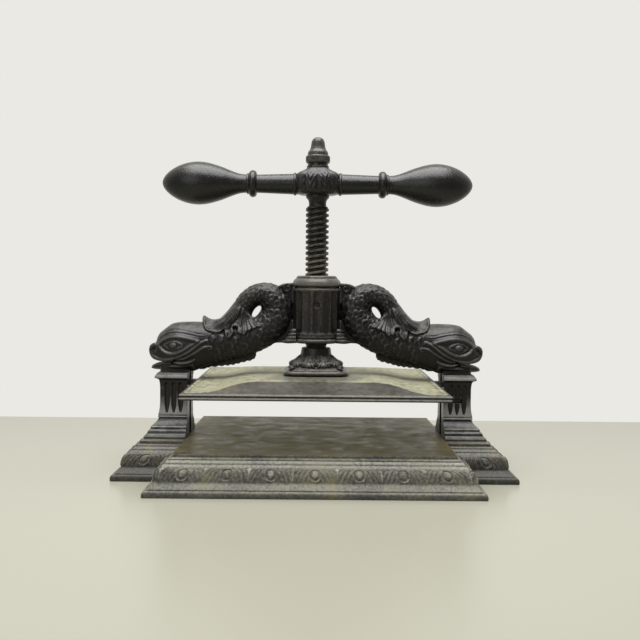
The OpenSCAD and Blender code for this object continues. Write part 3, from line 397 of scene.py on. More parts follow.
def column_skin():
    """The right column: an oblong ring at each height, straight inside and growing outwards and to front
    and back by the profile of stepped foot, shaft and capital. Flutes hollow three faces, the platen's
    guide cuts the inner one, and the cotter's slot the front. Rows are the share of the foot's or the
    capital's spread, the height and the wear and light: wear and painted highlight on the steps, painted
    shade under them."""
    foot_rows = [
        [1.00, 47.2, 0.1], [1.00, 50.2, 0.8], [0.98, 50.9, 0.8], [0.93, 51.1, -0.7], [0.90, 51.6, -0.3],
        [0.81, 52.9, 0.1], [0.78, 54.9, 0.1], [0.74, 56.8, 0.2], [0.64, 58.6, 0.0], [0.585, 58.9, -0.8],
        [0.59, 59.6, 0.2], [0.59, 61.6, 0.8], [0.56, 62.3, 0.8], [0.50, 62.5, -0.6], [0.47, 62.9, -0.2],
        [0.33, 65.0, 0.0], [0.20, 67.7, 0.1], [0.12, 70.3, 0.1], [0.075, 72.7, -0.7], [0.13, 73.2, 0.5],
        [0.14, 74.2, 0.8], [0.11, 75.0, 0.5], [0.10, 75.4, -0.6], [0.11, 76.2, 0.6], [0.105, 78.0, 0.6],
        [0.05, 82.5, 0.6], [0.02, 87.0, 0.3], [0.00, 94.0, 0.1], [0.00, 114.0, 0.0]]
    capital_rows = [
        [0.05, 119.0, -0.1], [0.14, 123.0, -0.5], [0.32, 125.2, -0.7], [0.7, 126.3, -0.3],
        [0.98, 127.1, 0.7], [1.0, 128.4, 0.9], [0.95, 129.6, 0.7], [0.7, 132.0, 0.2], [0.5, 133.9, 0.0]]
    profile = np.array([[share, 0, *rest] for share, *rest in foot_rows]
                       + [[0, share, *rest] for share, *rest in capital_rows])
    runs = [np.linspace(a, b, max(2, int(abs(b[2] - a[2]) / 0.8) + 1))[:-1]
            for a, b in zip(profile[:-1], profile[1:])]
    foot, cap, level, wear_and_light = np.vstack([*runs, profile[-1:]]).T[:, :, None]
    out = SHAFT_OUT + FOOT_OUT * foot + CAPITAL_OUT * cap
    half = SHAFT_HALF + FOOT_FRONT * foot + CAPITAL_OUT * cap
    face, deep = np.linspace(0, 1, 72)[None, :], np.linspace(-1, 1, 80)[None, :]
    front_x = SHAFT_IN + face * (out - SHAFT_IN)
    from_middle = front_x - (SHAFT_IN + SHAFT_OUT) / 2
    back_hollow = flute(from_middle, 3, level)
    slot = (np.abs(from_middle) < COTTER_HALF_W) * (np.abs(level - COTTER_Z) < COTTER_HALF_H) * COTTER_DEPTH
    front_hollow = np.maximum(back_hollow, slot)
    side_y = deep * half
    side_hollow = flute(side_y, 5, level)
    guide_y = half * 0 + GUIDE_HALF * np.array([[1, 1, 0, -1, -1]])
    inner_y = np.concatenate([half * [[1.0, 0.7]], guide_y, half * [[-0.7, -1.0]]], axis=1)
    in_guide = np.array([[0, 0, 0, 1, 1, 1, 0, 0, 0]])
    inner_x = np.broadcast_to(SHAFT_IN + GUIDE_DEPTH * in_guide, inner_y.shape)
    x = np.concatenate([front_x, out - side_hollow, front_x[:, ::-1], inner_x], axis=1)
    y = np.concatenate([-half + front_hollow, side_y, half - back_hollow[:, ::-1], inner_y], axis=1)
    sheet = np.dstack([x, y, np.broadcast_to(level, x.shape)])
    sunk = np.concatenate([front_hollow, side_hollow, back_hollow[:, ::-1], 0 * inner_y + 1.0], axis=1)
    # The shaft's ridges are lightened, most low down, as wear and painted highlight, and the flutes and the
    # cotter's slot are darkened as painted shade.
    shaft = ease(76.5, 79, level) * (1 - ease(116, 122, level))
    rubbed_and_highlit = (0.55 - 0.45 * ease(84, 112, level)) * shaft * (sunk < 0.05)
    marks = np.clip(wear_and_light + rubbed_and_highlit - 0.45 * sunk, -1, 1)
    return closed_tube(sheet), closed_tube(marks)


# Black japan, an asphalt lacquer, looks nearly black with a soft gloss, and grey where ridges are rubbed
# and where highlights are painted; its dust on top faces also paints top light.
black_iron = cast_iron(
    "cast_iron_black_japan_worn", "#0d0d0d", "#1b1a19", "#4c4a47", "#6a675f", "#3a2e25",
    worn_share=0.7, dust_share=0.5, rust_share=0.2, gloss=0.2, shine=0.32)
# Worn through on every step and arris, the same lacquer shows light lines of iron on a black ground, also
# painted there as highlights.
column_iron = cast_iron(
    "cast_iron_black_japan_edges_rubbed_and_highlit", "#0d0d0d", "#1c1b1a", "#7b7974", "#75736c", "#3a2e25",
    worn_share=0.95, dust_share=0.6, rust_share=0.15, gloss=0.2, shine=0.34)
column_sheet, column_marks = column_skin()
for column_side, half_turn in (("right", 1), ("left", -1)):
    column = piece(f"{column_side}_column_casting", [column_sheet * [half_turn, half_turn, 1]], column_iron,
                   "frame_unit", crease=40, marks={"relief": [column_marks]})
    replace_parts(column, f"{column_side}_column")

# Dolphins: the arms of the arch, each one casting with its head on the column and its tail looped
# against the boss. Moulded with scales, lidded eyes, rolled lips and a fan of leaves, then painted
# black. They are drawn in side view: u runs to the boss, v up from the capital, and y is the thickness.
FISH_SEAT = np.array([-193.75, 0.0, 134.0])
FISH_SPAN, FISH_END = 0.992, 163.4
BODY_LINE = np.array([
    [-38, 27, 2, 3], [-36, 27, 6, 9], [-31, 27, 9.5, 15], [-26, 27, 14.2, 19.5], [-17.5, 28.5, 26.6, 24.5],
    [-3.5, 30, 34.8, 28], [11, 32.7, 35.9, 29.5], [27, 36, 33.2, 28.5], [47, 39, 29.6, 27],
    [69, 42, 27, 25.5], [91, 46.5, 25.7, 24.5], [111, 53, 24.6, 24], [128.5, 63.5, 23.8, 23.5],
    [139.5, 78, 22.6, 22.5], [141, 93, 20.2, 21.5], [132.8, 104.5, 17.3, 20]], float)
TAIL_LINE = np.array([
    [141, 96, 16.6, 20], [132.5, 105, 17, 19.5], [117, 108.4, 15.1, 18], [101.2, 101.2, 13.6, 17],
    [90.8, 88.2, 13.4, 17], [79.2, 74.8, 12.6, 18], [66.3, 64.2, 11.2, 20], [53, 57.2, 8.6, 20],
    [43, 54, 4, 12]], float)
HOLE_AT, HOLE_SIZE, HOLE_TILT = np.array([111.4, 83.4]), np.array([3.9, 9.3]), math.radians(-35)
SCALE_PITCH, SCALES_ROUND, SCALE_HEIGHT, SCALE_SUNK, SCALE_FADE = 6.2, 14, 1.8, 0.8, 9
FAR = 1e9


def smooth_line(stations, steps):
    """A Catmull-Rom curve through the stations, with that many points from each to the next."""
    stations = np.asarray(stations, float)
    held = np.vstack([stations[:1], stations, stations[-1:]])
    a, b, c, d = (held[k:len(held) - 3 + k, None] for k in range(4))
    t = (np.arange(steps) / steps)[None, :, None]
    bend, twist = 2 * a - 5 * b + 4 * c - d, 3 * b - a - 3 * c + d
    curve = 0.5 * (2 * b + (c - a) * t + bend * t ** 2 + twist * t ** 3)
    return np.vstack([curve.reshape(-1, stations.shape[1]), stations[-1:]])


def roll(points, radii, sides=14, steps=8):
    """A round roll carried along a smooth line of [u, y, v], square to the line at each step."""
    line = smooth_line(np.column_stack([points, radii]), steps)
    forward = np.gradient(line[:, :3], axis=0)
    forward /= np.linalg.norm(forward, axis=1)[:, None]
    side = np.cross(forward, [0.0, 1.0, 0.01])
    side /= np.linalg.norm(side, axis=1)[:, None]
    other = np.cross(forward, side)
    angle = np.linspace(0, 2 * np.pi, sides + 1)[None, :, None]
    round_it = np.cos(angle) * side[:, None] + np.sin(angle) * other[:, None]
    return closed_tube(line[:, None, :3] + line[:, None, 3:] * round_it)


def both(points):
    """The same points on the front and on the back of the fish."""
    points = np.array(points, float)
    return [points, points * [1, -1, 1]]


def scales(along, round_it):
    """Roof-tile fish scales: each is a disc that rises to its free edge, over the next row's discs. Along
    is the distance from the snout, and round_it the share of the way round the body. Slow waves make
    some scales stand out more than others, as on a worn pattern."""
    row = along / SCALE_PITCH
    best = np.zeros(np.broadcast_shapes(row.shape, round_it.shape))
    found = np.zeros_like(best)
    for back in (1, 0):
        k = np.floor(row) - back
        cell = round_it * SCALES_ROUND + 0.5 * (k % 2)
        sideways = (cell - np.round(cell)) / 0.56
        out = (row - k) / 1.36
        inside = (np.hypot(out, sideways) < 1) * (1 - found)
        uneven = 0.75 + 0.25 * np.sin(2.1 * k + 5.3 * np.sin(1.7 * np.round(cell)))
        rise = out / np.sqrt(np.maximum(1 - sideways ** 2, 0.2)) - 0.15 * sideways ** 2
        best = best + inside * rise * uneven
        found = np.maximum(found, inside)
    return best


def near(u, v, points, width):
    """A bell over a smooth line of the side view: 1 on the line, falling off to the sides by that width."""
    line = smooth_line(points, 12)
    away = ((u[..., None] - line[:, 0]) ** 2 + (v[..., None] - line[:, 1]) ** 2).min(-1)
    return np.exp(-away / width ** 2)


def face_relief(u, v):
    """Carving of the head in side view: the brow and the lower lid as ridges that part a recess, in it two
    thin lids and the eye, and over the brow fine lines that follow it."""
    brow = np.array([
        [-24, 35.5], [-22.1, 38.3], [-16.3, 43.3], [-8, 47.2], [1.9, 48.5], [11.9, 47.7], [23.5, 45.4],
        [33.5, 43]])
    under = np.array([
        [-21.6, 36.5], [-17.1, 30.1], [-10.5, 26.4], [-3, 25.3], [5.3, 27], [13.6, 31.2], [21.9, 36.3],
        [31.8, 42.1]])
    lid = np.array([
        [-14.6, 37.2], [-8, 40.9], [-1.4, 42.3], [5.3, 41.1], [11.9, 37.0], [5.3, 33.4], [-2.2, 30.9],
        [-8.8, 32.7], [-14.6, 37.2]])
    above, over = v - np.interp(u, *brow.T), v - np.interp(u, *under.T)
    recess = ease(0, 4.0, -above) * ease(0, 3.5, over) * ease(-23, -19, u) * (1 - ease(27, 33, u))
    ridges = 1.5 * near(u, v, brow, 1.9) + 1.1 * near(u, v, under, 1.5) + 1.3 * near(u, v, lid, 1.15)
    lines = np.cos(2 * np.pi * above / 3.9) * (0.75 + 0.25 * np.sin(0.23 * u + 0.5 * above))
    lined = ease(2, 5, above) * (1 - ease(8, 15, above)) * ease(-24, -14, u) * (1 - ease(30, 46, u))
    ball = np.clip(1 - ((u + 1.7) / 5.8) ** 2 - ((v - 36.8) / 4.3) ** 2, 0, 1)
    return ridges - 1.9 * recess + 0.6 * lines * lined + 2.6 * np.sqrt(ball)


def fish_skin(stations, steps, sides, scaled=(FAR, 2 * FAR), head=False):
    """The body: an oval ring square to the line at each step, moved along its own normal by the scales,
    between two distances from the line's start, and on the head by the carving of the face. Stations are
    [u, v, half height, half thickness]. The mouth's roof is flat."""
    line = smooth_line(stations, steps)
    step = np.gradient(line[:, :2], axis=0)
    side = np.column_stack([-step[:, 1], step[:, 0]]) / np.hypot(*step.T)[:, None]
    along = np.concatenate([[0], np.cumsum(np.hypot(*np.diff(line[:, :2], axis=0).T))])[:, None]
    angle = np.linspace(0, 2 * np.pi, sides + 1)[None, :]
    half_h, half_t = line[:, 2:3], line[:, 3:4]
    rise, out = half_h * np.cos(angle), half_t * np.sin(angle)
    lean = np.hypot(np.cos(angle) / half_h, np.sin(angle) / half_t)
    lift, push = np.cos(angle) / half_h / lean, np.sin(angle) / half_t / lean
    u, v = line[:, 0:1] + side[:, 0:1] * rise, line[:, 1:2] + side[:, 1:2] * rise
    first, last = scaled
    shown = ease(first, first + SCALE_FADE, along) * (1 - ease(last - SCALE_FADE, last, along))
    height = (SCALE_HEIGHT * scales(along, angle / (2 * np.pi)) - SCALE_SUNK) * shown
    if head:
        height = height + face_relief(u, v) * ease(0.35, 0.75, np.abs(push))
    u, v, y = u + side[:, 0:1] * lift * height, v + side[:, 1:2] * lift * height, out + push * height
    if head:
        roof = 17.0 - 60 * ease(2, 14, u)
        v = np.maximum(v, np.minimum(roof, line[:, 1:2]))
    return closed_tube(np.dstack([u, y, v]))


def flank(u, v):
    """How far the body and tail reach to the side at a point of the side view: the largest of the ovals
    round the stations of both lines."""
    line = np.vstack([smooth_line(BODY_LINE, 4), smooth_line(TAIL_LINE, 4)])
    away = (u[..., None] - line[:, 0]) ** 2 + (v[..., None] - line[:, 1]) ** 2
    return (line[:, 3] * np.sqrt(np.clip(1 - away / line[:, 2] ** 2, 0, 1))).max(-1)


def leaf_fan(hand):
    """The fan of leaves where the tail ends on the neck. Each line of it is a Bezier curve from a root
    under the loop past a middle point to the rim, (1 - s)^2 root + 2 s (1 - s) middle + s^2 rim, and a
    smooth line through the thirteen gives the sheet. It hugs the flank, lifts to its rim and is parted
    into round feathers by grooves: six on each side of a ringed eyelet. The first of them scoop up into
    the crest."""
    lines = np.array([
        [88.4, 102.6, 60.0, 58.5, 36.2, 78.2], [88.9, 100.4, 65.0, 62.5, 38.8, 62.0],
        [89.6, 98.6, 71.2, 65.0, 50.4, 55.6], [90.4, 97.2, 76.6, 69.0, 61.5, 55.0],
        [91.2, 96.2, 80.5, 73.0, 67.0, 58.8], [92.0, 95.6, 82.6, 72.5, 71.6, 45.5],
        [92.8, 95.2, 85.2, 73.7, 80.4, 51.4], [93.6, 94.8, 87.4, 74.0, 83.2, 60.5],
        [94.6, 94.2, 89.6, 73.0, 86.2, 54.5], [95.8, 93.0, 92.8, 71.1, 96.6, 51.0],
        [97.2, 91.0, 97.0, 70.2, 100.6, 55.8], [98.8, 88.0, 100.6, 69.2, 111.2, 61.0],
        [101.0, 84.4, 105.6, 69.9, 120.8, 64.7]])
    eyelet_at, front_rows, back_rows = (83.2, 60.8), 60, 20
    sheet = smooth_line(lines, 24)[None]
    line = np.linspace(0, 12, sheet.shape[1])[None]
    feather = np.abs(np.sin(np.pi * np.interp(line, [0, 6, 8, 12], [0, 6, 6, 12]))) ** 0.5
    share = np.concatenate([np.linspace(0, 1, front_rows), np.linspace(1, 0, back_rows)])[:, None]
    front = (np.arange(front_rows + back_rows) < front_rows)[:, None]
    notch = np.interp(line, [0, 6, 8, 12], [0.015, 0.03, 0.06, 0.07]) * (1 - feather)
    bent = (share * (1 - notch))[..., None]
    root, middle, rim = sheet[..., :2], sheet[..., 2:4], sheet[..., 4:]
    place = (1 - bent) ** 2 * root + 2 * bent * (1 - bent) * middle + bent ** 2 * rim
    u, v = place[..., 0], place[..., 1]
    scoop = np.sin(np.pi * np.clip(line / 3, 0, 1)) * ease(0.5, 0.8, share) * (1 - ease(0.88, 0.97, share))
    feathered = 2.3 * feather * ease(0.0, 0.2, share) * (1 - 0.7 * scoop)
    lift = -1.5 + 2.1 * ease(0, 0.3, share) + 2.8 * share ** 1.7 + feathered
    lift = lift - 2.4 * scoop - 5.5 * ease(0.94, 1.0, share)
    eyelet = np.hypot(u - eyelet_at[0], v - eyelet_at[1])
    lift = lift + 1.8 * np.exp(-((eyelet - 4.4) / 1.4) ** 2) - 6.5 * np.exp(-(eyelet / 2.7) ** 2)
    closing = ease(0, 0.35, np.minimum(line, 12 - line))
    held = np.maximum(flank(u, v), 7 + (7.5 + 5.5 * ease(0.3, 0.9, share)) * ease(0, 1.6, line))
    y = np.where(front, held + lift * closing - 2.5 * (1 - closing), held - 4.0)
    return np.dstack([u, hand * y, v])


def belly_fin():
    """The saw-edged fin under the throat: a plate that thins towards its lower edge, with a rib to each
    tooth."""
    edge = smooth_line([
        [14, 2.6], [24, 2.2], [31, 1.5], [38, 1.5], [45, 3.9], [63, 6.1], [78, 7.8], [92, 11.4],
        [107, 15.6], [111.4, 21.4]], 24)
    teeth = 17
    tooth = np.abs(np.sin(np.pi * np.linspace(0, teeth, len(edge))))[:, None]
    depth = np.concatenate([np.linspace(1, 0, 14), np.linspace(0, 1, 14)[1:]])[None, :]
    hand = np.concatenate([np.ones(14), -np.ones(13)])[None, :]
    u = edge[:, :1] - 3 * depth
    v = edge[:, 1:] + 1.6 * (1 - tooth) * (1 - depth) + 20 * depth
    y = hand * (1.6 + 4.2 * depth + 0.8 * tooth * (1 - depth))
    loop = np.dstack([u, np.broadcast_to(y, u.shape), v])
    return closed_tube(np.concatenate([loop, loop[:, :1]], axis=1))


def web():
    """The wall that fills the loop round its small hole: a ring whose inner edge is the tilted oval."""
    outer_r, half_thick = 21.0, 13.5
    turn = np.linspace(0, 2 * np.pi, 73)[:, None]
    around = np.linspace(0, 2 * np.pi, 29)[None, :]
    c, s = math.cos(HOLE_TILT), math.sin(HOLE_TILT)
    oval = np.column_stack([HOLE_SIZE[0] * np.cos(turn), HOLE_SIZE[1] * np.sin(turn)])
    inner = oval @ np.array([[c, -s], [s, c]]).T
    outer = outer_r * np.column_stack([np.cos(turn + HOLE_TILT), np.sin(turn + HOLE_TILT)])
    share = (0.5 - 0.5 * np.cos(around))[..., None]
    place = HOLE_AT + inner[:, None] * (1 - share) + outer[:, None] * share
    y = np.broadcast_to(half_thick * np.sin(around) * (0.75 + 0.25 * share[..., 0]), place.shape[:2])
    return np.dstack([place[..., 0], y, place[..., 1]])


def plate(outline, half):
    """A flat shape of the side view with rounded edges: its outline, drawn in to its middle at both
    faces."""
    outline = resample(np.vstack([outline, outline[:1]]), 1.5)
    bend = np.radians(np.linspace(-90, 90, 9))
    share = np.concatenate([[0], 0.88 + 0.12 * np.cos(bend), [0]])[:, None, None]
    place = outline.mean(0) + share * (outline - outline.mean(0))
    y = half * np.concatenate([[-1], np.sin(bend), [1]])[:, None]
    return np.dstack(np.broadcast_arrays(place[..., 0], y, place[..., 1]))


def square_off(wave, power):
    """A sine or cosine drawn out towards the square by a high power."""
    return np.sign(wave) * np.abs(wave) ** (2 / power)


def block(low, high, power=6.0, rows=24, columns=48):
    """A box with soft edges: a ball whose circles are drawn out square by a high power."""
    lat = np.linspace(-np.pi / 2, np.pi / 2, rows)[:, None]
    lon = np.linspace(0, 2 * np.pi, columns + 1)[None, :]
    girth = square_off(np.cos(lat), power)
    ball = np.dstack(np.broadcast_arrays(
        girth * square_off(np.cos(lon), power), girth * square_off(np.sin(lon), power),
        square_off(np.sin(lat), power)))
    low, high = np.array(low, float), np.array(high, float)
    return (low + high) / 2 + ball * (high - low) / 2


def fish_place(sheet, hand):
    """Drawn fish to the part's own place: out of the loop's hole, up off the capital, and flat to the
    boss."""
    u, y, v = (sheet[..., k].copy() for k in range(3))
    c, s = math.cos(HOLE_TILT), math.sin(HOLE_TILT)
    a, b = u - HOLE_AT[0], v - HOLE_AT[1]
    p, q = (c * a + s * b) / HOLE_SIZE[0], (c * b - s * a) / HOLE_SIZE[1]
    reach = np.hypot(p, q)
    grow = np.where(reach < 1, 1 / np.maximum(reach, 0.05), 1)
    u, v = HOLE_AT[0] + a * grow, HOLE_AT[1] + b * grow
    x = FISH_SEAT[0] + np.minimum(u, FISH_END) * FISH_SPAN
    return np.dstack([hand * x, y, FISH_SEAT[2] + np.maximum(v, 0.05)])


def on_flank(points):
    """Points of the side view laid on the fish's side, a little proud of it."""
    points = np.array(points, float)
    return np.column_stack([points[:, 0], flank(points[:, 0], points[:, 1]) + 0.2, points[:, 1]])


def dolphin_sheets():
    """Every sheet of one dolphin in drawn [u, y, v]: body, tail, jaw, the block on the capital, web, fin
    and fans, the webs towards the boss, and the rolls of lips, cheek, web and throat on both sides."""
    jaw_line = np.array([
        [-35.4, 4.6, 0.8, 3], [-33, 5.0, 2.3, 9], [-27, 5.8, 3.9, 14.5], [-16, 7.2, 5.4, 20],
        [-4, 8.2, 6.2, 24], [10, 9, 7, 25.5], [26, 11, 8, 24]], float)
    upper_web = [[136, 114], [140, 118.2], [146, 119.8], [150.5, 122.2], [166, 123.8], [166, 95], [136, 95]]
    lower_web = [[119, 33], [126, 35], [133, 37.9], [139, 40.3], [166, 41], [166, 75], [125, 60]]
    sheets = [
        fish_skin(BODY_LINE, 17, 170, scaled=(84, FAR), head=True),
        fish_skin(TAIL_LINE, 15, 120, scaled=(6, 66)), fish_skin(jaw_line, 8, 60),
        block([-21, -22, -4], [20, 22, 12]), web(), belly_fin(), leaf_fan(1), leaf_fan(-1),
        plate(upper_web, 8.5), plate(lower_web, 8.5)]
    upper_lip = [
        [-25.5, 18.5, 38], [-29.5, 15.5, 36.8], [-32.3, 12, 33.5], [-33, 10, 29.5], [-32, 12, 24.8],
        [-28.3, 16, 20.3], [-20, 20.8, 17.6], [-10, 24.8, 17.4], [-2, 27, 18.6]]
    lower_lip = [[-33, 0, 6.2], [-29.6, 10, 8], [-16.6, 19, 11], [-4, 24, 12.8]]
    cheek = on_flank([
        [-1.3, 18.7], [8.6, 22.1], [18.6, 27.1], [26.9, 33], [35.2, 39.7], [41.8, 43.1], [45.4, 44.4],
        [46, 42.4]])
    gill = on_flank([
        [3.7, 17.9], [13.6, 18.8], [23.6, 23.9], [31.9, 28.9], [40.2, 34], [46.8, 35.7], [51.6, 35.5],
        [51, 33.2], [47.5, 31.8]])
    web_roll = [[138, 8, 116.3], [144, 8.6, 118.6], [150, 8.8, 121], [158, 8.8, 121.8], [166, 8.8, 122.2]]
    throat = [[-0.8, 25.3, 14.2], [8.4, 26.2, 12.2], [20, 26.4, 13.7], [29, 25.6, 18]]
    for points, radii in (
            (upper_lip, [2.0, 3.0, 3.9, 4.3, 4.0, 3.3, 2.5, 2.1, 1.3]), (lower_lip, [1.6, 1.9, 1.8, 1.1]),
            (cheek, [1.1, 1.3, 1.5, 1.6, 1.5, 1.4, 1.2, 0.9]),
            (gill, [0.9, 1.2, 1.4, 1.5, 1.5, 1.3, 1.2, 1.0, 0.8]),
            (web_roll, [1.4, 1.9, 2.0, 2.0, 2.0]), (throat, [1.0, 1.4, 1.5, 0.9])):
        sheets += [roll(p, radii) for p in both(points)]
    crest = [[66, 0, 64.3], [52, 0, 65.3], [43, 0, 69.8], [37.2, 0, 76.6]]
    return sheets + [roll(crest, [9, 6.6, 4.6, 1.8], sides=20)]


def cast_together(name, sheets, material, body, grain):
    """Joins the sheets into one skin on a fine grid of that spacing, as metal fills a mould, rounds it a
    little, and marks each point's relief: how far it stands out from the mean of its neighbours."""
    full_relief, rounds = 0.45 * MM, 14
    made = piece(name, sheets, material, body)
    melt = made.modifiers.new("mould", "REMESH")
    melt.mode, melt.voxel_size = "VOXEL", grain * MM
    soften = made.modifiers.new("soften", "SMOOTH")
    soften.factor, soften.iterations = 0.5, 1
    shown = made.evaluated_get(bpy.context.evaluated_depsgraph_get())
    cast = bpy.data.meshes.new_from_object(shown)
    made.modifiers.clear()
    made.data = cast
    points = read(cast.vertices, "co", np.float32, 3)
    normals = read(cast.vertices, "normal", np.float32, 3)
    start, end = read(cast.edges, "vertices", np.int32, 2).T
    count = len(points)
    even, number = points.astype(float), np.bincount(np.concatenate([start, end]), minlength=count)[:, None]
    for _ in range(rounds):
        total = np.column_stack([
            np.bincount(start, even[end, k], count) + np.bincount(end, even[start, k], count)
            for k in range(3)])
        even = 0.5 * even + 0.5 * total / number
    mark_points(cast, "relief", np.clip(((points - even) * normals).sum(1) / full_relief, -1, 1))
    cast.shade_smooth()
    return made


fish_sheets = dolphin_sheets()
for fish_side, fish_hand in (("left", 1), ("right", -1)):
    placed = [fish_place(sheet, fish_hand) for sheet in fish_sheets]
    fish = cast_together(f"{fish_side}_dolphin_casting", placed, black_iron, "frame_unit",
                         grain=0.9)
    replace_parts(fish, f"{fish_side}_dolphin")

# Boss: a fluted drum with a rounded cap, cast in iron and painted black, held between the dolphins'
# tails by studs. Its corners carry curls above and stacked leaves below, and a slotted screw locks the
# nut in it.
DRUM_FLUTES, DRUM_R = 16, 33.3
DRUM_FLUTE_R, DRUM_FLUTE_DEPTH, DRUM_FLUTE_LOW, DRUM_FLUTE_HIGH = 4.7, 1.3, 193.0, 242.0
SET_SCREW_Z, SET_SCREW_FLOOR = 228.0, 29.9


def turned(profile, sides, carve):
    """A profile of [radius, height] turned about the upright axis, with angle 0 at the front. The carving,
    a function of angle, radius and height, moves the radius. Gives the sheet and how far each point
    moved."""
    angle = np.linspace(-np.pi, np.pi, sides + 1)[None, :]
    radius, height = profile[:, :1], profile[:, 1:]
    raised = carve(angle, radius, height)
    reach = np.maximum(radius + raised, 0)
    return np.dstack(np.broadcast_arrays(reach * np.sin(angle), -reach * np.cos(angle), height)), raised


def drum_carving(angle, radius, height):
    """Hollow flutes with round ends on the front and the back of the drum, and the pocket of the set
    screw."""
    from_front = np.mod(angle + np.pi / 2, np.pi) - np.pi / 2
    place = from_front * DRUM_FLUTES / (2 * np.pi)
    across = (place - np.round(place)) * 2 * np.pi * DRUM_R / DRUM_FLUTES
    beyond = np.maximum(np.maximum(DRUM_FLUTE_LOW - height, height - DRUM_FLUTE_HIGH), 0)
    hollow = np.sqrt(np.clip(1 - (across ** 2 + beyond ** 2) / DRUM_FLUTE_R ** 2, 0, 1))
    hollow = hollow * (np.abs(np.round(place)) <= 3)
    from_screw = np.hypot(radius * np.sin(angle), height - SET_SCREW_Z)
    pocket = (1 - ease(3.9, 4.3, from_screw)) * (np.abs(angle) < 1)
    cut = DRUM_FLUTE_DEPTH * hollow * (1 - pocket) + (radius - SET_SCREW_FLOOR) * pocket
    return np.where(radius > 32.4, -cut, 0)


def boss_curl(side, hand):
    """A curl on an upper corner of the boss: a thin roll wound inwards as a spiral, facing front or
    back."""
    turn = np.linspace(0, 1, 26)
    reach, angle = 5.6 * (1 - 0.8 * turn), np.radians(100 - 560 * turn)
    x, z = side * (40.5 + reach * np.cos(angle)), 250.4 + reach * np.sin(angle)
    return roll(np.column_stack([x, np.full(len(turn), hand * 10.4), z]), 1.7 - 0.7 * turn, steps=3)


def boss_leaf(side, hand, level, length, drop):
    """One of the stacked leaves on a lower corner of the boss: a roll that runs out and down to a tip."""
    x = side * (27.5 + length * np.array([0, 0.6, 1.0]))
    y = hand * np.array([23.0, 21.5, 18.0])
    z = level - drop * np.array([0, 0.4, 1.0])
    return roll(np.column_stack([x, y, z]), [2.9, 3.0, 1.4], steps=6)


drum_line = resample([
    [23.2, 240.2], [23.2, 175.1], [30.2, 175.1], [31.6, 176.3], [33.6, 177.0], [34.6, 178.2], [34.9, 179.3],
    [34.5, 180.4], [33.2, 181.2], [31.9, 181.7], [31.9, 182.6], [33.1, 183.2], [33.3, 184.0], [33.3, 247.0],
    [33.9, 247.9], [34.0, 249.4], [33.4, 250.3], [31.4, 250.8], [31.2, 252.6], [33.1, 253.4], [33.7, 254.8],
    [33.6, 257.0], [32.8, 259.6], [31.2, 262.2], [29.0, 264.2], [28.2, 264.5], [28.1, 265.4], [27.2, 267.0],
    [25.6, 267.9], [24.2, 268.0], [16.6, 268.0], [16.6, 240.2], [23.2, 240.2]], 0.9)
# Painted light on the drum: its rings lightened and the grooves between them darkened, the flutes darkened
# as painted shade, and the lands between them and a band under the flutes' lower ends lightened as painted
# highlights.
drum_painted_bands = np.array([
    [176, 0], [178.3, 0.75], [180.6, 0.2], [182, -0.9], [183.6, 0.4], [186, 0], [246, 0], [249, 0.6],
    [251.5, -0.9], [254.5, 0.6], [258, 0.45], [263.4, 0.6], [264.8, -0.3], [266.6, 0.6], [268, 0.4]])
leaf_rows = ((192.4, 8.5, 0.6), (187.6, 10.5, 0.9), (182.9, 14.0, 1.2), (178.6, 19.0, 1.6))
drum, drum_moved = turned(drum_line, 240, drum_carving)
drum_band_light = np.interp(drum_line[:, 1:], *drum_painted_bands.T)
flute_end_highlight = 0.5 * np.exp(-((drum_line[:, 1:] - 189.3) / 1.2) ** 2)
boss_sheets, boss_marks = [drum], [drum_band_light + flute_end_highlight + np.where(drum_moved < -0.05, -0.3, 0.25)]
for corner_side, corner_hand in ((-1, -1), (-1, 1), (1, -1), (1, 1)):
    boss_sheets.append(boss_curl(corner_side, corner_hand))
    boss_sheets += [boss_leaf(corner_side, corner_hand, *row) for row in leaf_rows]
    boss_marks += [0.15] + [0.35] * len(leaf_rows)
# Sound black japan with a film of oil looks a deeper black, and its gloss is mottled.
boss_iron = cast_iron(
    "cast_iron_black_japan_sound", "#0c0c0b", "#25231f", "#5d5b55", "#6e6b62", "#453626",
    worn_share=0.8, dust_share=0.6, rust_share=0.3, gloss=0.14, shine=0.36, mottle=0.8, spot_mm=4.0)
boss = piece("nut_boss_casting", boss_sheets, boss_iron, "frame_unit", crease=48,
             marks={"relief": boss_marks})
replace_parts(boss, "nut_boss")
# The set screw and the cotters take the black japan; for the cotters, deep in the columns' slots, it keeps
# the slots as dark as their shade.
dress(boss_iron, "nut_set_screw", "jaw_cotters")
# Wrought steel that has rusted looks brown and dull, with a grey shine only on its edges.
fixing_steel = cast_iron(
    "wrought_steel_fixing_rusted", "#3a332b", "#55493b", "#857b69", "#6d6450", "#6b4526",
    worn_share=0.7, dust_share=0.4, rust_share=0.6, gloss=0.42, shine=0.4)
dress(fixing_steel, "tail_studs", "jaw_studs", "foot_bolts", "foot_washers")
# Cast bronze that has tarnished looks brown and yellow, brighter where the screw rubs it.
nut_bronze = cast_iron(
    "cast_bronze_nut_tarnished", "#6b5230", "#8a6c40", "#b08f5a", "#7a6a4c", "#4f4a2c",
    worn_share=0.7, dust_share=0.2, rust_share=0.2, gloss=0.32, shine=0.5)
dress(nut_bronze, "screw_nut")

# Platen: a cast plate, thick in the middle where the screw presses and thin at its moulded edge. Old
# paint and dust have left its top khaki, and the slope to the front is still dark.
PLATEN_HALF = np.array([166.5, 159.5])
PLATEN_UNDER, PLATEN_LOW, PLATEN_RISE = 114.6, 123.5, 8.0
OGEE_END, OGEE_RUN, SLOPE_END, SLOPE_RUN = 147.0, 72.0, 155.0, 60.0
TONGUE_IN, TONGUE_OUT, TONGUE_HALF, TONGUE_TOP = 160.0, 179.2, 7.5, 122.4


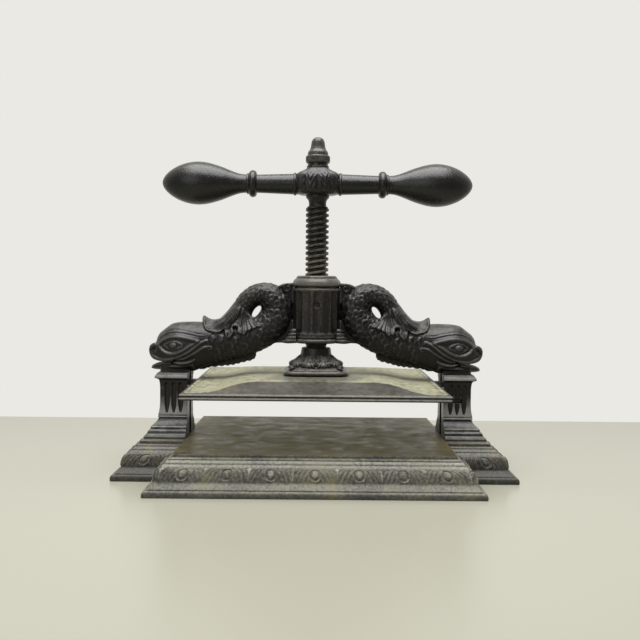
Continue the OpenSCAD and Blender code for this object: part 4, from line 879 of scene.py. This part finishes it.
def platen_top(x, y):
    """Height of the platen's top: the lower of the ogee that runs across it, with its rims, and the
    straight slopes to front and back, with the corner between them rounded. Also gives how far the slope
    lies above the ogee."""
    x, y = np.abs(x), np.abs(y)
    share = np.clip((OGEE_END - x) / OGEE_RUN, 0, 1)
    across = PLATEN_LOW + PLATEN_RISE * (share - 0.75 * np.sin(2 * np.pi * share) / (2 * np.pi))
    across = across + 0.5 * ease(157.2, 158.6, x) - 1.1 * np.exp(-((x - 155.8) / 1.2) ** 2)
    along = PLATEN_LOW + PLATEN_RISE * np.clip((SLOPE_END - y) / SLOPE_RUN, 0, 1)
    sharp, datum = 2.2, 120
    lower = -np.log(np.exp(-sharp * (across - datum)) + np.exp(-sharp * (along - datum))) / sharp + datum
    return lower + 0.315 * np.exp(-np.abs(along - across)), along - across


def platen_skin():
    """The platen's skin: rings that follow its oblong outline with mitred corners, from the middle of the
    top out to the edge, down over its two beads and back to the middle below. Gives the sheet, its relief
    and where it is clean: on the slopes, in a patch before the socket, and a little towards the front,
    where the darker iron that shows is painted shade."""
    edge = np.array([
        [4.4, 123.4], [2.8, 123.3], [1.3, 122.8], [0.4, 121.9], [0.2, 121.1], [0.5, 120.3], [1.3, 119.8],
        [2.0, 119.5], [2.0, 119.0], [1.2, 118.7], [0.4, 118.0], [0.1, 117.0], [0.3, 115.9], [0.9, 115.0],
        [2.0, PLATEN_UNDER], [40, PLATEN_UNDER], [159.4, PLATEN_UNDER]])
    top = np.concatenate([np.linspace(159.4, 12, 74), np.linspace(11, 5, 13)])
    inset = np.concatenate([top, edge[:, 0]])
    corners = PLATEN_HALF * np.array([[-1, -1], [1, -1], [1, 1], [-1, 1], [-1, -1]])
    share = np.linspace(0, 1, 161)[:, None, None]
    inner = corners[:, None] - inset[None, :, None] * np.sign(corners)[:, None]
    plan = np.vstack([inner[i] + share * (inner[i + 1] - inner[i]) for i in range(4)])
    x, y = plan[..., 0], plan[..., 1]
    level, from_slope = platen_top(x, y)
    outer = np.arange(len(inset)) >= len(top)
    level = np.where(outer, np.concatenate([0 * top, edge[:, 1]]), level)
    wander = 0.14 * np.sin(0.11 * x + 1.3 * np.sin(0.05 * y)) * np.sin(0.07 * x - 0.04 * y + 1.0)
    socket_patch = 1 - ease(0.72, 1.2, np.hypot(x / 66, (y + 50) / 56) + 0.6 * wander)
    # Painted shade: the dust thins towards the front, so the front of the top shows darker.
    patch_and_front_shade = np.maximum(0.75 * socket_patch, 0.3 * ease(70, 150, -y))
    clean = np.where(outer, 0.9, np.maximum(1 - ease(-0.4, 0.15, from_slope + wander), patch_and_front_shade))
    beads = np.concatenate([0 * top, 0.9 * np.cos((edge[:, 1] - 121.3) * 1.5)])
    arris = 0.35 * np.exp(-(from_slope / 0.35) ** 2) * (np.abs(from_slope) > 0.02)
    return np.dstack([plan, level]), np.where(outer, beads, arris), clean


# Iron under settled dust looks matt khaki, and dark and a little shiny where the dust is gone.
platen_iron = cast_iron(
    "sand_cast_iron_dusty_khaki", "#33332d", "#52504a", "#96948c", "#9b997e", "#6a5636",
    worn_share=0.9, dust_share=1.0, rust_share=0.5, gloss=0.25, shine=0.36, streak=(1.2, 2.4), even=0.38,
    mottle=0.6, matte=0.35, spot_mm=6.0)
platen_sheet, platen_bead, platen_clean = platen_skin()
tongues = [block([low, -TONGUE_HALF, PLATEN_UNDER], [high, TONGUE_HALF, TONGUE_TOP], power=16)
           for low, high in ((-TONGUE_OUT, -TONGUE_IN), (TONGUE_IN, TONGUE_OUT))]
platen = piece("platen_casting", [platen_sheet, *tongues], platen_iron, "platen_unit",
               crease=40, marks={"relief": [platen_bead, 0.0, 0.0], "clean": [platen_clean, 0.9, 0.9]})
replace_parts(platen, "platen")

# Socket: a leafy pedestal cast in iron, screwed to the platen by its square foot. The screw's end turns in
# it, and a pinned collar under its neck lifts the platen.
SKIRT_LEAVES = 10


def socket_leaves(angle, radius, height):
    """Acanthus leaves round the skirt: leaves with a rib up the middle and veins that slant out from it,
    each veed off from the next, and tips that curl out near the foot."""
    place = angle * SKIRT_LEAVES / (2 * np.pi) + 0.5
    across = 2 * (place - np.round(place))
    up = np.clip((height - 143.0) / 16.0, 0, 1)
    on_skirt = ease(142.6, 144.0, height) * (1 - ease(157.0, 159.5, height)) * (radius > 20.5)
    rib = 0.9 * np.exp(-(across / 0.13) ** 2)
    veins = 0.62 * np.cos(2 * np.pi * (np.abs(across) * 2.6 + up * 2.3)) * ease(0.1, 0.3, np.abs(across))
    gap = -1.5 * ease(0.80, 0.98, np.abs(across))
    tips = 0.9 * np.cos(np.pi * across / 2) * np.exp(-((height - 147.5) / 2.6) ** 2)
    return (rib + veins + gap + tips) * on_skirt


def socket_foot():
    """The socket's foot: rings of a square with rounded corners, drawn out by a high power. Its edge is
    half round, and a small step and a swell lead up to the skirt."""
    bend, edge_r = np.radians(np.linspace(-90, 90, 15)), 3.6
    half = np.concatenate([[22.5], 41.4 + edge_r * np.cos(bend), [40.6, 39.6, 38.0, 35.0, 30.0]])[:, None]
    level = np.concatenate([[131.5], 135.15 + edge_r * np.sin(bend), [139.0, 139.9, 141.2, 142.2, 142.5]])
    angle = np.linspace(0, 2 * np.pi, 129)[None, :]
    x, y = (half * square_off(wave, 5.0) for wave in (np.cos(angle), np.sin(angle)))
    foot = np.dstack(np.broadcast_arrays(x, y, level[:, None]))
    return np.concatenate([foot, foot[:1]])


neck_line = resample([
    [22.3, 131.6], [22.3, 146.2], [14.1, 146.2], [14.1, 168.4], [19.0, 168.4], [20.1, 167.6], [20.7, 164.5],
    [21.3, 160.2], [21.6, 158.6], [24.0, 156.4], [27.0, 153.8], [29.6, 151.6], [33.0, 150.3], [35.0, 148.8],
    [36.2, 146.6], [36.7, 144.6], [36.4, 142.6], [33.0, 141.5], [33.0, 131.6], [22.3, 131.6]], 0.55)
neck_sheet, neck_moved = turned(neck_line, 260, socket_leaves)
foot_sheet = socket_foot()
foot_wear = np.array([[131.5, -0.3], [135, 0.5], [138, 0.7], [139.1, -0.7], [140, 0.5], [142.5, 0.2]])
socket = piece("screw_socket_casting", [neck_sheet, foot_sheet], boss_iron, "platen_unit",
               crease=45,
               marks={"relief": [np.clip(neck_moved, -1, 1), np.interp(foot_sheet[..., 2], *foot_wear.T)]})
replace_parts(socket, "screw_socket")
dress(boss_iron, "socket_screws")
dress(fixing_steel, "thrust_disc", "thrust_collar", "collar_pin")

# Screw: turned from a steel bar with a coarse two-start thread, a journal that turns in the socket, and a
# waisted neck under the handle. It was never painted, and its oil has gone brown.
THREAD_LEAD, THREAD_PITCH, THREAD_DEPTH = 15.0, 7.5, 3.2


def thread(angle, radius, height):
    """A two-start right-hand thread: the place in the pitch is (height - lead x turn) / pitch, and flat
    crests fall to the root by two slopes. It fades out at both ends."""
    place = ((height - THREAD_LEAD * angle / (2 * np.pi)) / THREAD_PITCH) % 1.0
    crest = ease(0.0, 0.2, place) * (1 - ease(0.52, 0.72, place))
    cut = ease(172.0, 175.0, height) * (1 - ease(360.0, 363.5, height)) * (radius > 13)
    return -THREAD_DEPTH * (1 - crest) * cut


screw_line = np.vstack([
    resample([[0, 134.0], [13, 134.0], [14, 135.0], [14, 170.4], [15.0, 172.5], [16.0, 174.4]], 1.6)[:-1],
    resample([[16.0, 174.4], [16.0, 361.8], [12.2, 364.0]], 0.42)[:-1],
    resample([
        [12.2, 364.0], [11.9, 367.0], [12.1, 369.5], [12.9, 372.0], [14.4, 374.0], [15.8, 375.2],
        [16.0, 376.6], [15.9, 378.95], [9.0, 378.95], [9.0, 417.5], [7.4, 417.5], [7.4, 440.0], [0, 440.0]],
        1.2)])
# Painted light along the thread: its lower end, in the boss's shadow, is darkened, and the crests are
# lightest low down and darker towards the handle.
screw_light_by_height = np.array([
    [176, -1.0], [178, -0.3], [200, 0.2], [268, 0.9], [300, 0.55], [345, 0.25], [364, 0.1]])
screw_sheet, screw_moved = turned(screw_line, 84, thread)
screw_marks = np.clip(0.55 + screw_moved * 0.5, -0.8, 0.55) * np.interp(screw_line[:, 1:], *screw_light_by_height.T)
# Turned steel under old oil looks brown; its roots are darkened nearly black as painted shade, and crests
# the nut rubs are light, also as painted highlight.
screw_steel = cast_iron(
    "turned_steel_oiled_and_brown", "#161511", "#28251e", "#827d6b", "#6d6450", "#4f3a22",
    worn_share=0.9, dust_share=0.15, rust_share=0.3, gloss=0.3, shine=0.3)
screw = piece("press_screw_threaded", [screw_sheet], screw_steel, "screw_unit", crease=55,
              marks={"relief": [screw_marks]})
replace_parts(screw, "press_screw")

# Handle: a bar with a leafy hub and two pear-shaped bulbs, cast in one piece and painted black, and rubbed
# smooth by hands. The hub sits on the screw's square end.
HANDLE_Z, HUB_LEAVES = 394, 12


def about_bar(along, radius):
    """Rings about the bar's own axis, one for each place along it and its radius."""
    angle = np.linspace(0, 2 * np.pi, 73)[None, :]
    return np.dstack(np.broadcast_arrays(along, radius * np.cos(angle), HANDLE_Z + radius * np.sin(angle)))


def bar_skin():
    """The bar turned about its own axis: a taper, a bead with a step, a neck and a bulb, mirrored to the
    other end."""
    bend = np.radians(np.linspace(165, 15, 13))
    taper = resample([[0, 14.1], [34, 14.1], [83.6, 12.45], [84.2, 13.0]], 3.0)
    bead = np.column_stack([89.4 + 5.4 * np.cos(bend), 13.4 + 5.1 * np.sin(bend)])
    bulb = smooth_line([
        [98.2, 12.75], [102, 12.75], [108, 13.7], [115, 15.9], [123, 19.0], [131, 22.2], [139, 24.8],
        [147, 27.1], [155, 28.7], [163, 29.4], [171, 29.0], [179, 27.6], [186, 25.5], [193, 22.6],
        [199, 19.2], [204.5, 15.2], [209, 10.8], [212.2, 6.2], [213.6, 2.6], [213.9, 0.0]], 4)
    half = np.vstack([taper, bead, [[95.2, 14.3], [97.3, 14.2]], bulb])
    line = np.vstack([half[:0:-1] * [-1, 1], half])
    return about_bar(line[:, :1], line[:, 1:])


def hub_skin():
    """The hub: rings round the screw's axis, long towards the bar and round at the neck, with leaves that
    lie along the bar and up to the neck, veed off from each other and ribbed. Rows are the height and the
    half lengths along and across the bar."""
    ring = smooth_line([
        [379.05, 10.0, 10.0], [379.05, 22.0, 18.5], [380.4, 27.0, 21.0], [383.0, 30.6, 23.3],
        [387.0, 32.0, 24.7], [394.0, 32.4, 25.4], [401.0, 32.0, 24.9], [406.0, 30.6, 23.2],
        [409.0, 27.6, 21.4], [411.2, 23.4, 19.8], [413.2, 19.0, 18.1], [414.4, 17.2, 17.2],
        [415.2, 16.4, 16.4], [416.0, 15.3, 15.3], [418.2, 15.3, 15.3], [418.95, 14.2, 14.2],
        [418.95, 10.0, 10.0]], 7)
    angle = np.linspace(0, 2 * np.pi, 193)[None, :]
    up = (ring[:, :1] - 379) / 35
    around = angle * HUB_LEAVES / (2 * np.pi) + 0.5
    across = 2 * (around - np.round(around))
    veins = 0.3 * np.cos(2 * np.pi * (np.abs(across) * 1.8 - up * 3.4))
    leaf = 0.6 * np.exp(-(across / 0.18) ** 2) + veins - 1.0 * ease(0.74, 0.98, np.abs(across))
    leaf = leaf * ease(0.03, 0.12, up) * (1 - ease(0.82, 0.98, up))
    x, y = (square_off(wave, 2.4) for wave in (np.cos(angle), np.sin(angle)))
    raised = leaf * (1 - ease(0.90, 0.97, np.abs(x)))
    sheet = np.broadcast_arrays((ring[:, 1:2] + raised) * x, (ring[:, 2:3] + raised) * y, ring[:, :1])
    return np.dstack(sheet), leaf


def sleeve_ring(side):
    """The ring where the bar leaves the hub."""
    bend = np.radians(np.linspace(0, 360, 25))[:, None]
    return about_bar(side * 31.2 + 2.0 * np.cos(bend), 14.4 + 1.3 * np.sin(bend))


# Black japan that hands have polished looks smooth and black, with broad soft highlights.
handle_iron = cast_iron(
    "cast_iron_black_japan_handled", "#0d0d0d", "#1a1918", "#5a5850", "#5c5a53", "#302922",
    worn_share=0.8, dust_share=0.3, rust_share=0.12, gloss=0.17, shine=0.38, spot_mm=4.5, pit_mm=0.5)
hub_sheet, hub_leaf = hub_skin()
handle = piece("handle_casting", [bar_skin(), hub_sheet, sleeve_ring(-1), sleeve_ring(1)], handle_iron,
               "screw_unit", crease=42,
               marks={"relief": [0.1, np.clip(hub_leaf, -1, 0.2), 0.15, 0.15]})
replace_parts(handle, "handle")

# Finial: a domed nut with a milled collar, turned from steel and blackened, that holds the handle down on
# its washer.
MILLED_RIBS = 56


def milling(angle, radius, height):
    """Fine upright ribs milled round the collar."""
    on_collar = ease(424.2, 425.2, height) * (1 - ease(431.0, 432.0, height)) * (radius > 16)
    return 0.3 * np.cos(MILLED_RIBS * angle) * on_collar


finial_line = resample([
    [7.6, 422.6], [15.2, 422.6], [16.2, 423.5], [16.4, 424.5], [16.4, 431.8], [15.6, 432.9], [14.3, 433.3],
    [14.1, 436.8], [13.5, 438.6], [12.2, 440.0], [11.0, 442.0], [10.1, 445.0], [9.5, 449.0], [8.9, 452.6],
    [7.4, 455.6], [5.0, 457.5], [2.4, 458.3], [0, 458.4]], 0.7)
finial_bore = [[0, 441.0], [7.6, 441.0]]
finial_sheet, finial_moved = turned(np.vstack([finial_bore, finial_line]), 224, milling)
finial = piece("finial_nut_milled", [finial_sheet], handle_iron, "screw_unit", crease=45,
               marks={"relief": [0.45 + finial_moved]})
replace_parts(finial, "finial_nut")
dress(handle_iron, "finial_washer")

# Stage: a pale table top that ends behind the press, against a plain pale wall given by the world.
STAGE_HALF, STAGE_BACK, STAGE_Z = 1.6, 0.413, -0.0002
floor_mesh = bpy.data.meshes.new("table_top")
floor_mesh.from_pydata([
    (-STAGE_HALF, -STAGE_HALF, STAGE_Z), (STAGE_HALF, -STAGE_HALF, STAGE_Z),
    (STAGE_HALF, STAGE_BACK, STAGE_Z), (-STAGE_HALF, STAGE_BACK, STAGE_Z)], [], [(0, 1, 2, 3)])
floor = bpy.data.objects.new("table_top", floor_mesh)
bpy.context.scene.collection.objects.link(floor)
# A smooth pale top looks even, and mirrors the press only as a soft blur at its feet.
table = bpy.data.materials.new("pale_table_top")
table.use_nodes = True
table_shader = table.node_tree.nodes["Principled BSDF"].inputs
table_shader["Base Color"].default_value = linear("#9f9d8e")
table_shader["Roughness"].default_value = 0.3
floor_mesh.materials.append(table)

# The wall behind is bright in what metal reflects, and the room in front of the press is dark.
ROOM_LIGHT, ROOM_IN_FRONT, WALL_BEHIND = 0.34, 0.22, 1.0
world = bpy.data.worlds.new("pale_room")
world.use_nodes = True
bpy.context.scene.world = world
room = world.node_tree
glossy, seen = (add(room, "ShaderNodeLightPath", out=ray) for ray in ("Is Glossy Ray", "Is Camera Ray"))
towards = add(room, "ShaderNodeTexCoord", out="Generated")
towards = add(room, "ShaderNodeSeparateXYZ", {0: towards}, out="Y")
wall = add(room, "ShaderNodeMapRange", {
    "Value": towards, "From Min": -0.5, "From Max": 0.3, "To Min": ROOM_IN_FRONT, "To Max": WALL_BEHIND})
lit = add(room, "ShaderNodeMapRange", {"Value": glossy, "To Min": ROOM_LIGHT, "To Max": wall})
strength = add(room, "ShaderNodeMath", {0: lit, 1: seen}, operation="MAXIMUM")
background = room.nodes["Background"]
background.inputs["Color"].default_value = linear("#eae9e4")
room.links.new(strength, background.inputs["Strength"])

LAMPS_AIM = np.array([0, 0, 0.2])
for lamp_name, lamp_place, lamp_size, lamp_power in (
        ("ceiling_lamp", (0.0, -0.25, 1.6), 1.45, 50.0),
        ("front_lamp", (-0.9, -1.8, 0.9), 1.4, 8.0)):
    lamp = bpy.data.lights.new(lamp_name, "AREA")
    lamp.size, lamp.energy = lamp_size, lamp_power
    lamp_object = bpy.data.objects.new(lamp_name, lamp)
    bpy.context.scene.collection.objects.link(lamp_object)
    lamp_object.location = lamp_place
    lamp_object.rotation_mode = "QUATERNION"
    lamp_object.rotation_quaternion = Vector(LAMPS_AIM - lamp_place).to_track_quat("-Z", "Y")

# Camera: at the height of the screw, a long arm's length in front, tipped down a little.
FOCAL_PX, FRAME_PX, SENSOR_MM = 870.0, 640, 36.0
CAMERA_AT = np.array([-2.237, -1209.309, 265.118])
yaw, pitch, tilt = (math.radians(turn) for turn in (0.345, 2.774, 0.579))
ahead = np.array([math.sin(yaw) * math.cos(pitch), math.cos(yaw) * math.cos(pitch), -math.sin(pitch)])
level = np.array([math.cos(yaw), -math.sin(yaw), 0.0])
upright = np.cross(level, ahead)
right = math.cos(tilt) * level + math.sin(tilt) * upright
above = math.cos(tilt) * upright - math.sin(tilt) * level
camera_data = bpy.data.cameras.new("camera")
camera_data.sensor_width = SENSOR_MM
camera_data.lens = FOCAL_PX / FRAME_PX * SENSOR_MM
camera = bpy.data.objects.new("camera", camera_data)
bpy.context.scene.collection.objects.link(camera)
camera.matrix_world = Matrix([
    *([right[k], above[k], -ahead[k], CAMERA_AT[k] * MM] for k in range(3)), [0, 0, 0, 1]])
bpy.context.scene.camera = camera
bpy.context.scene.view_settings.view_transform = "Standard"
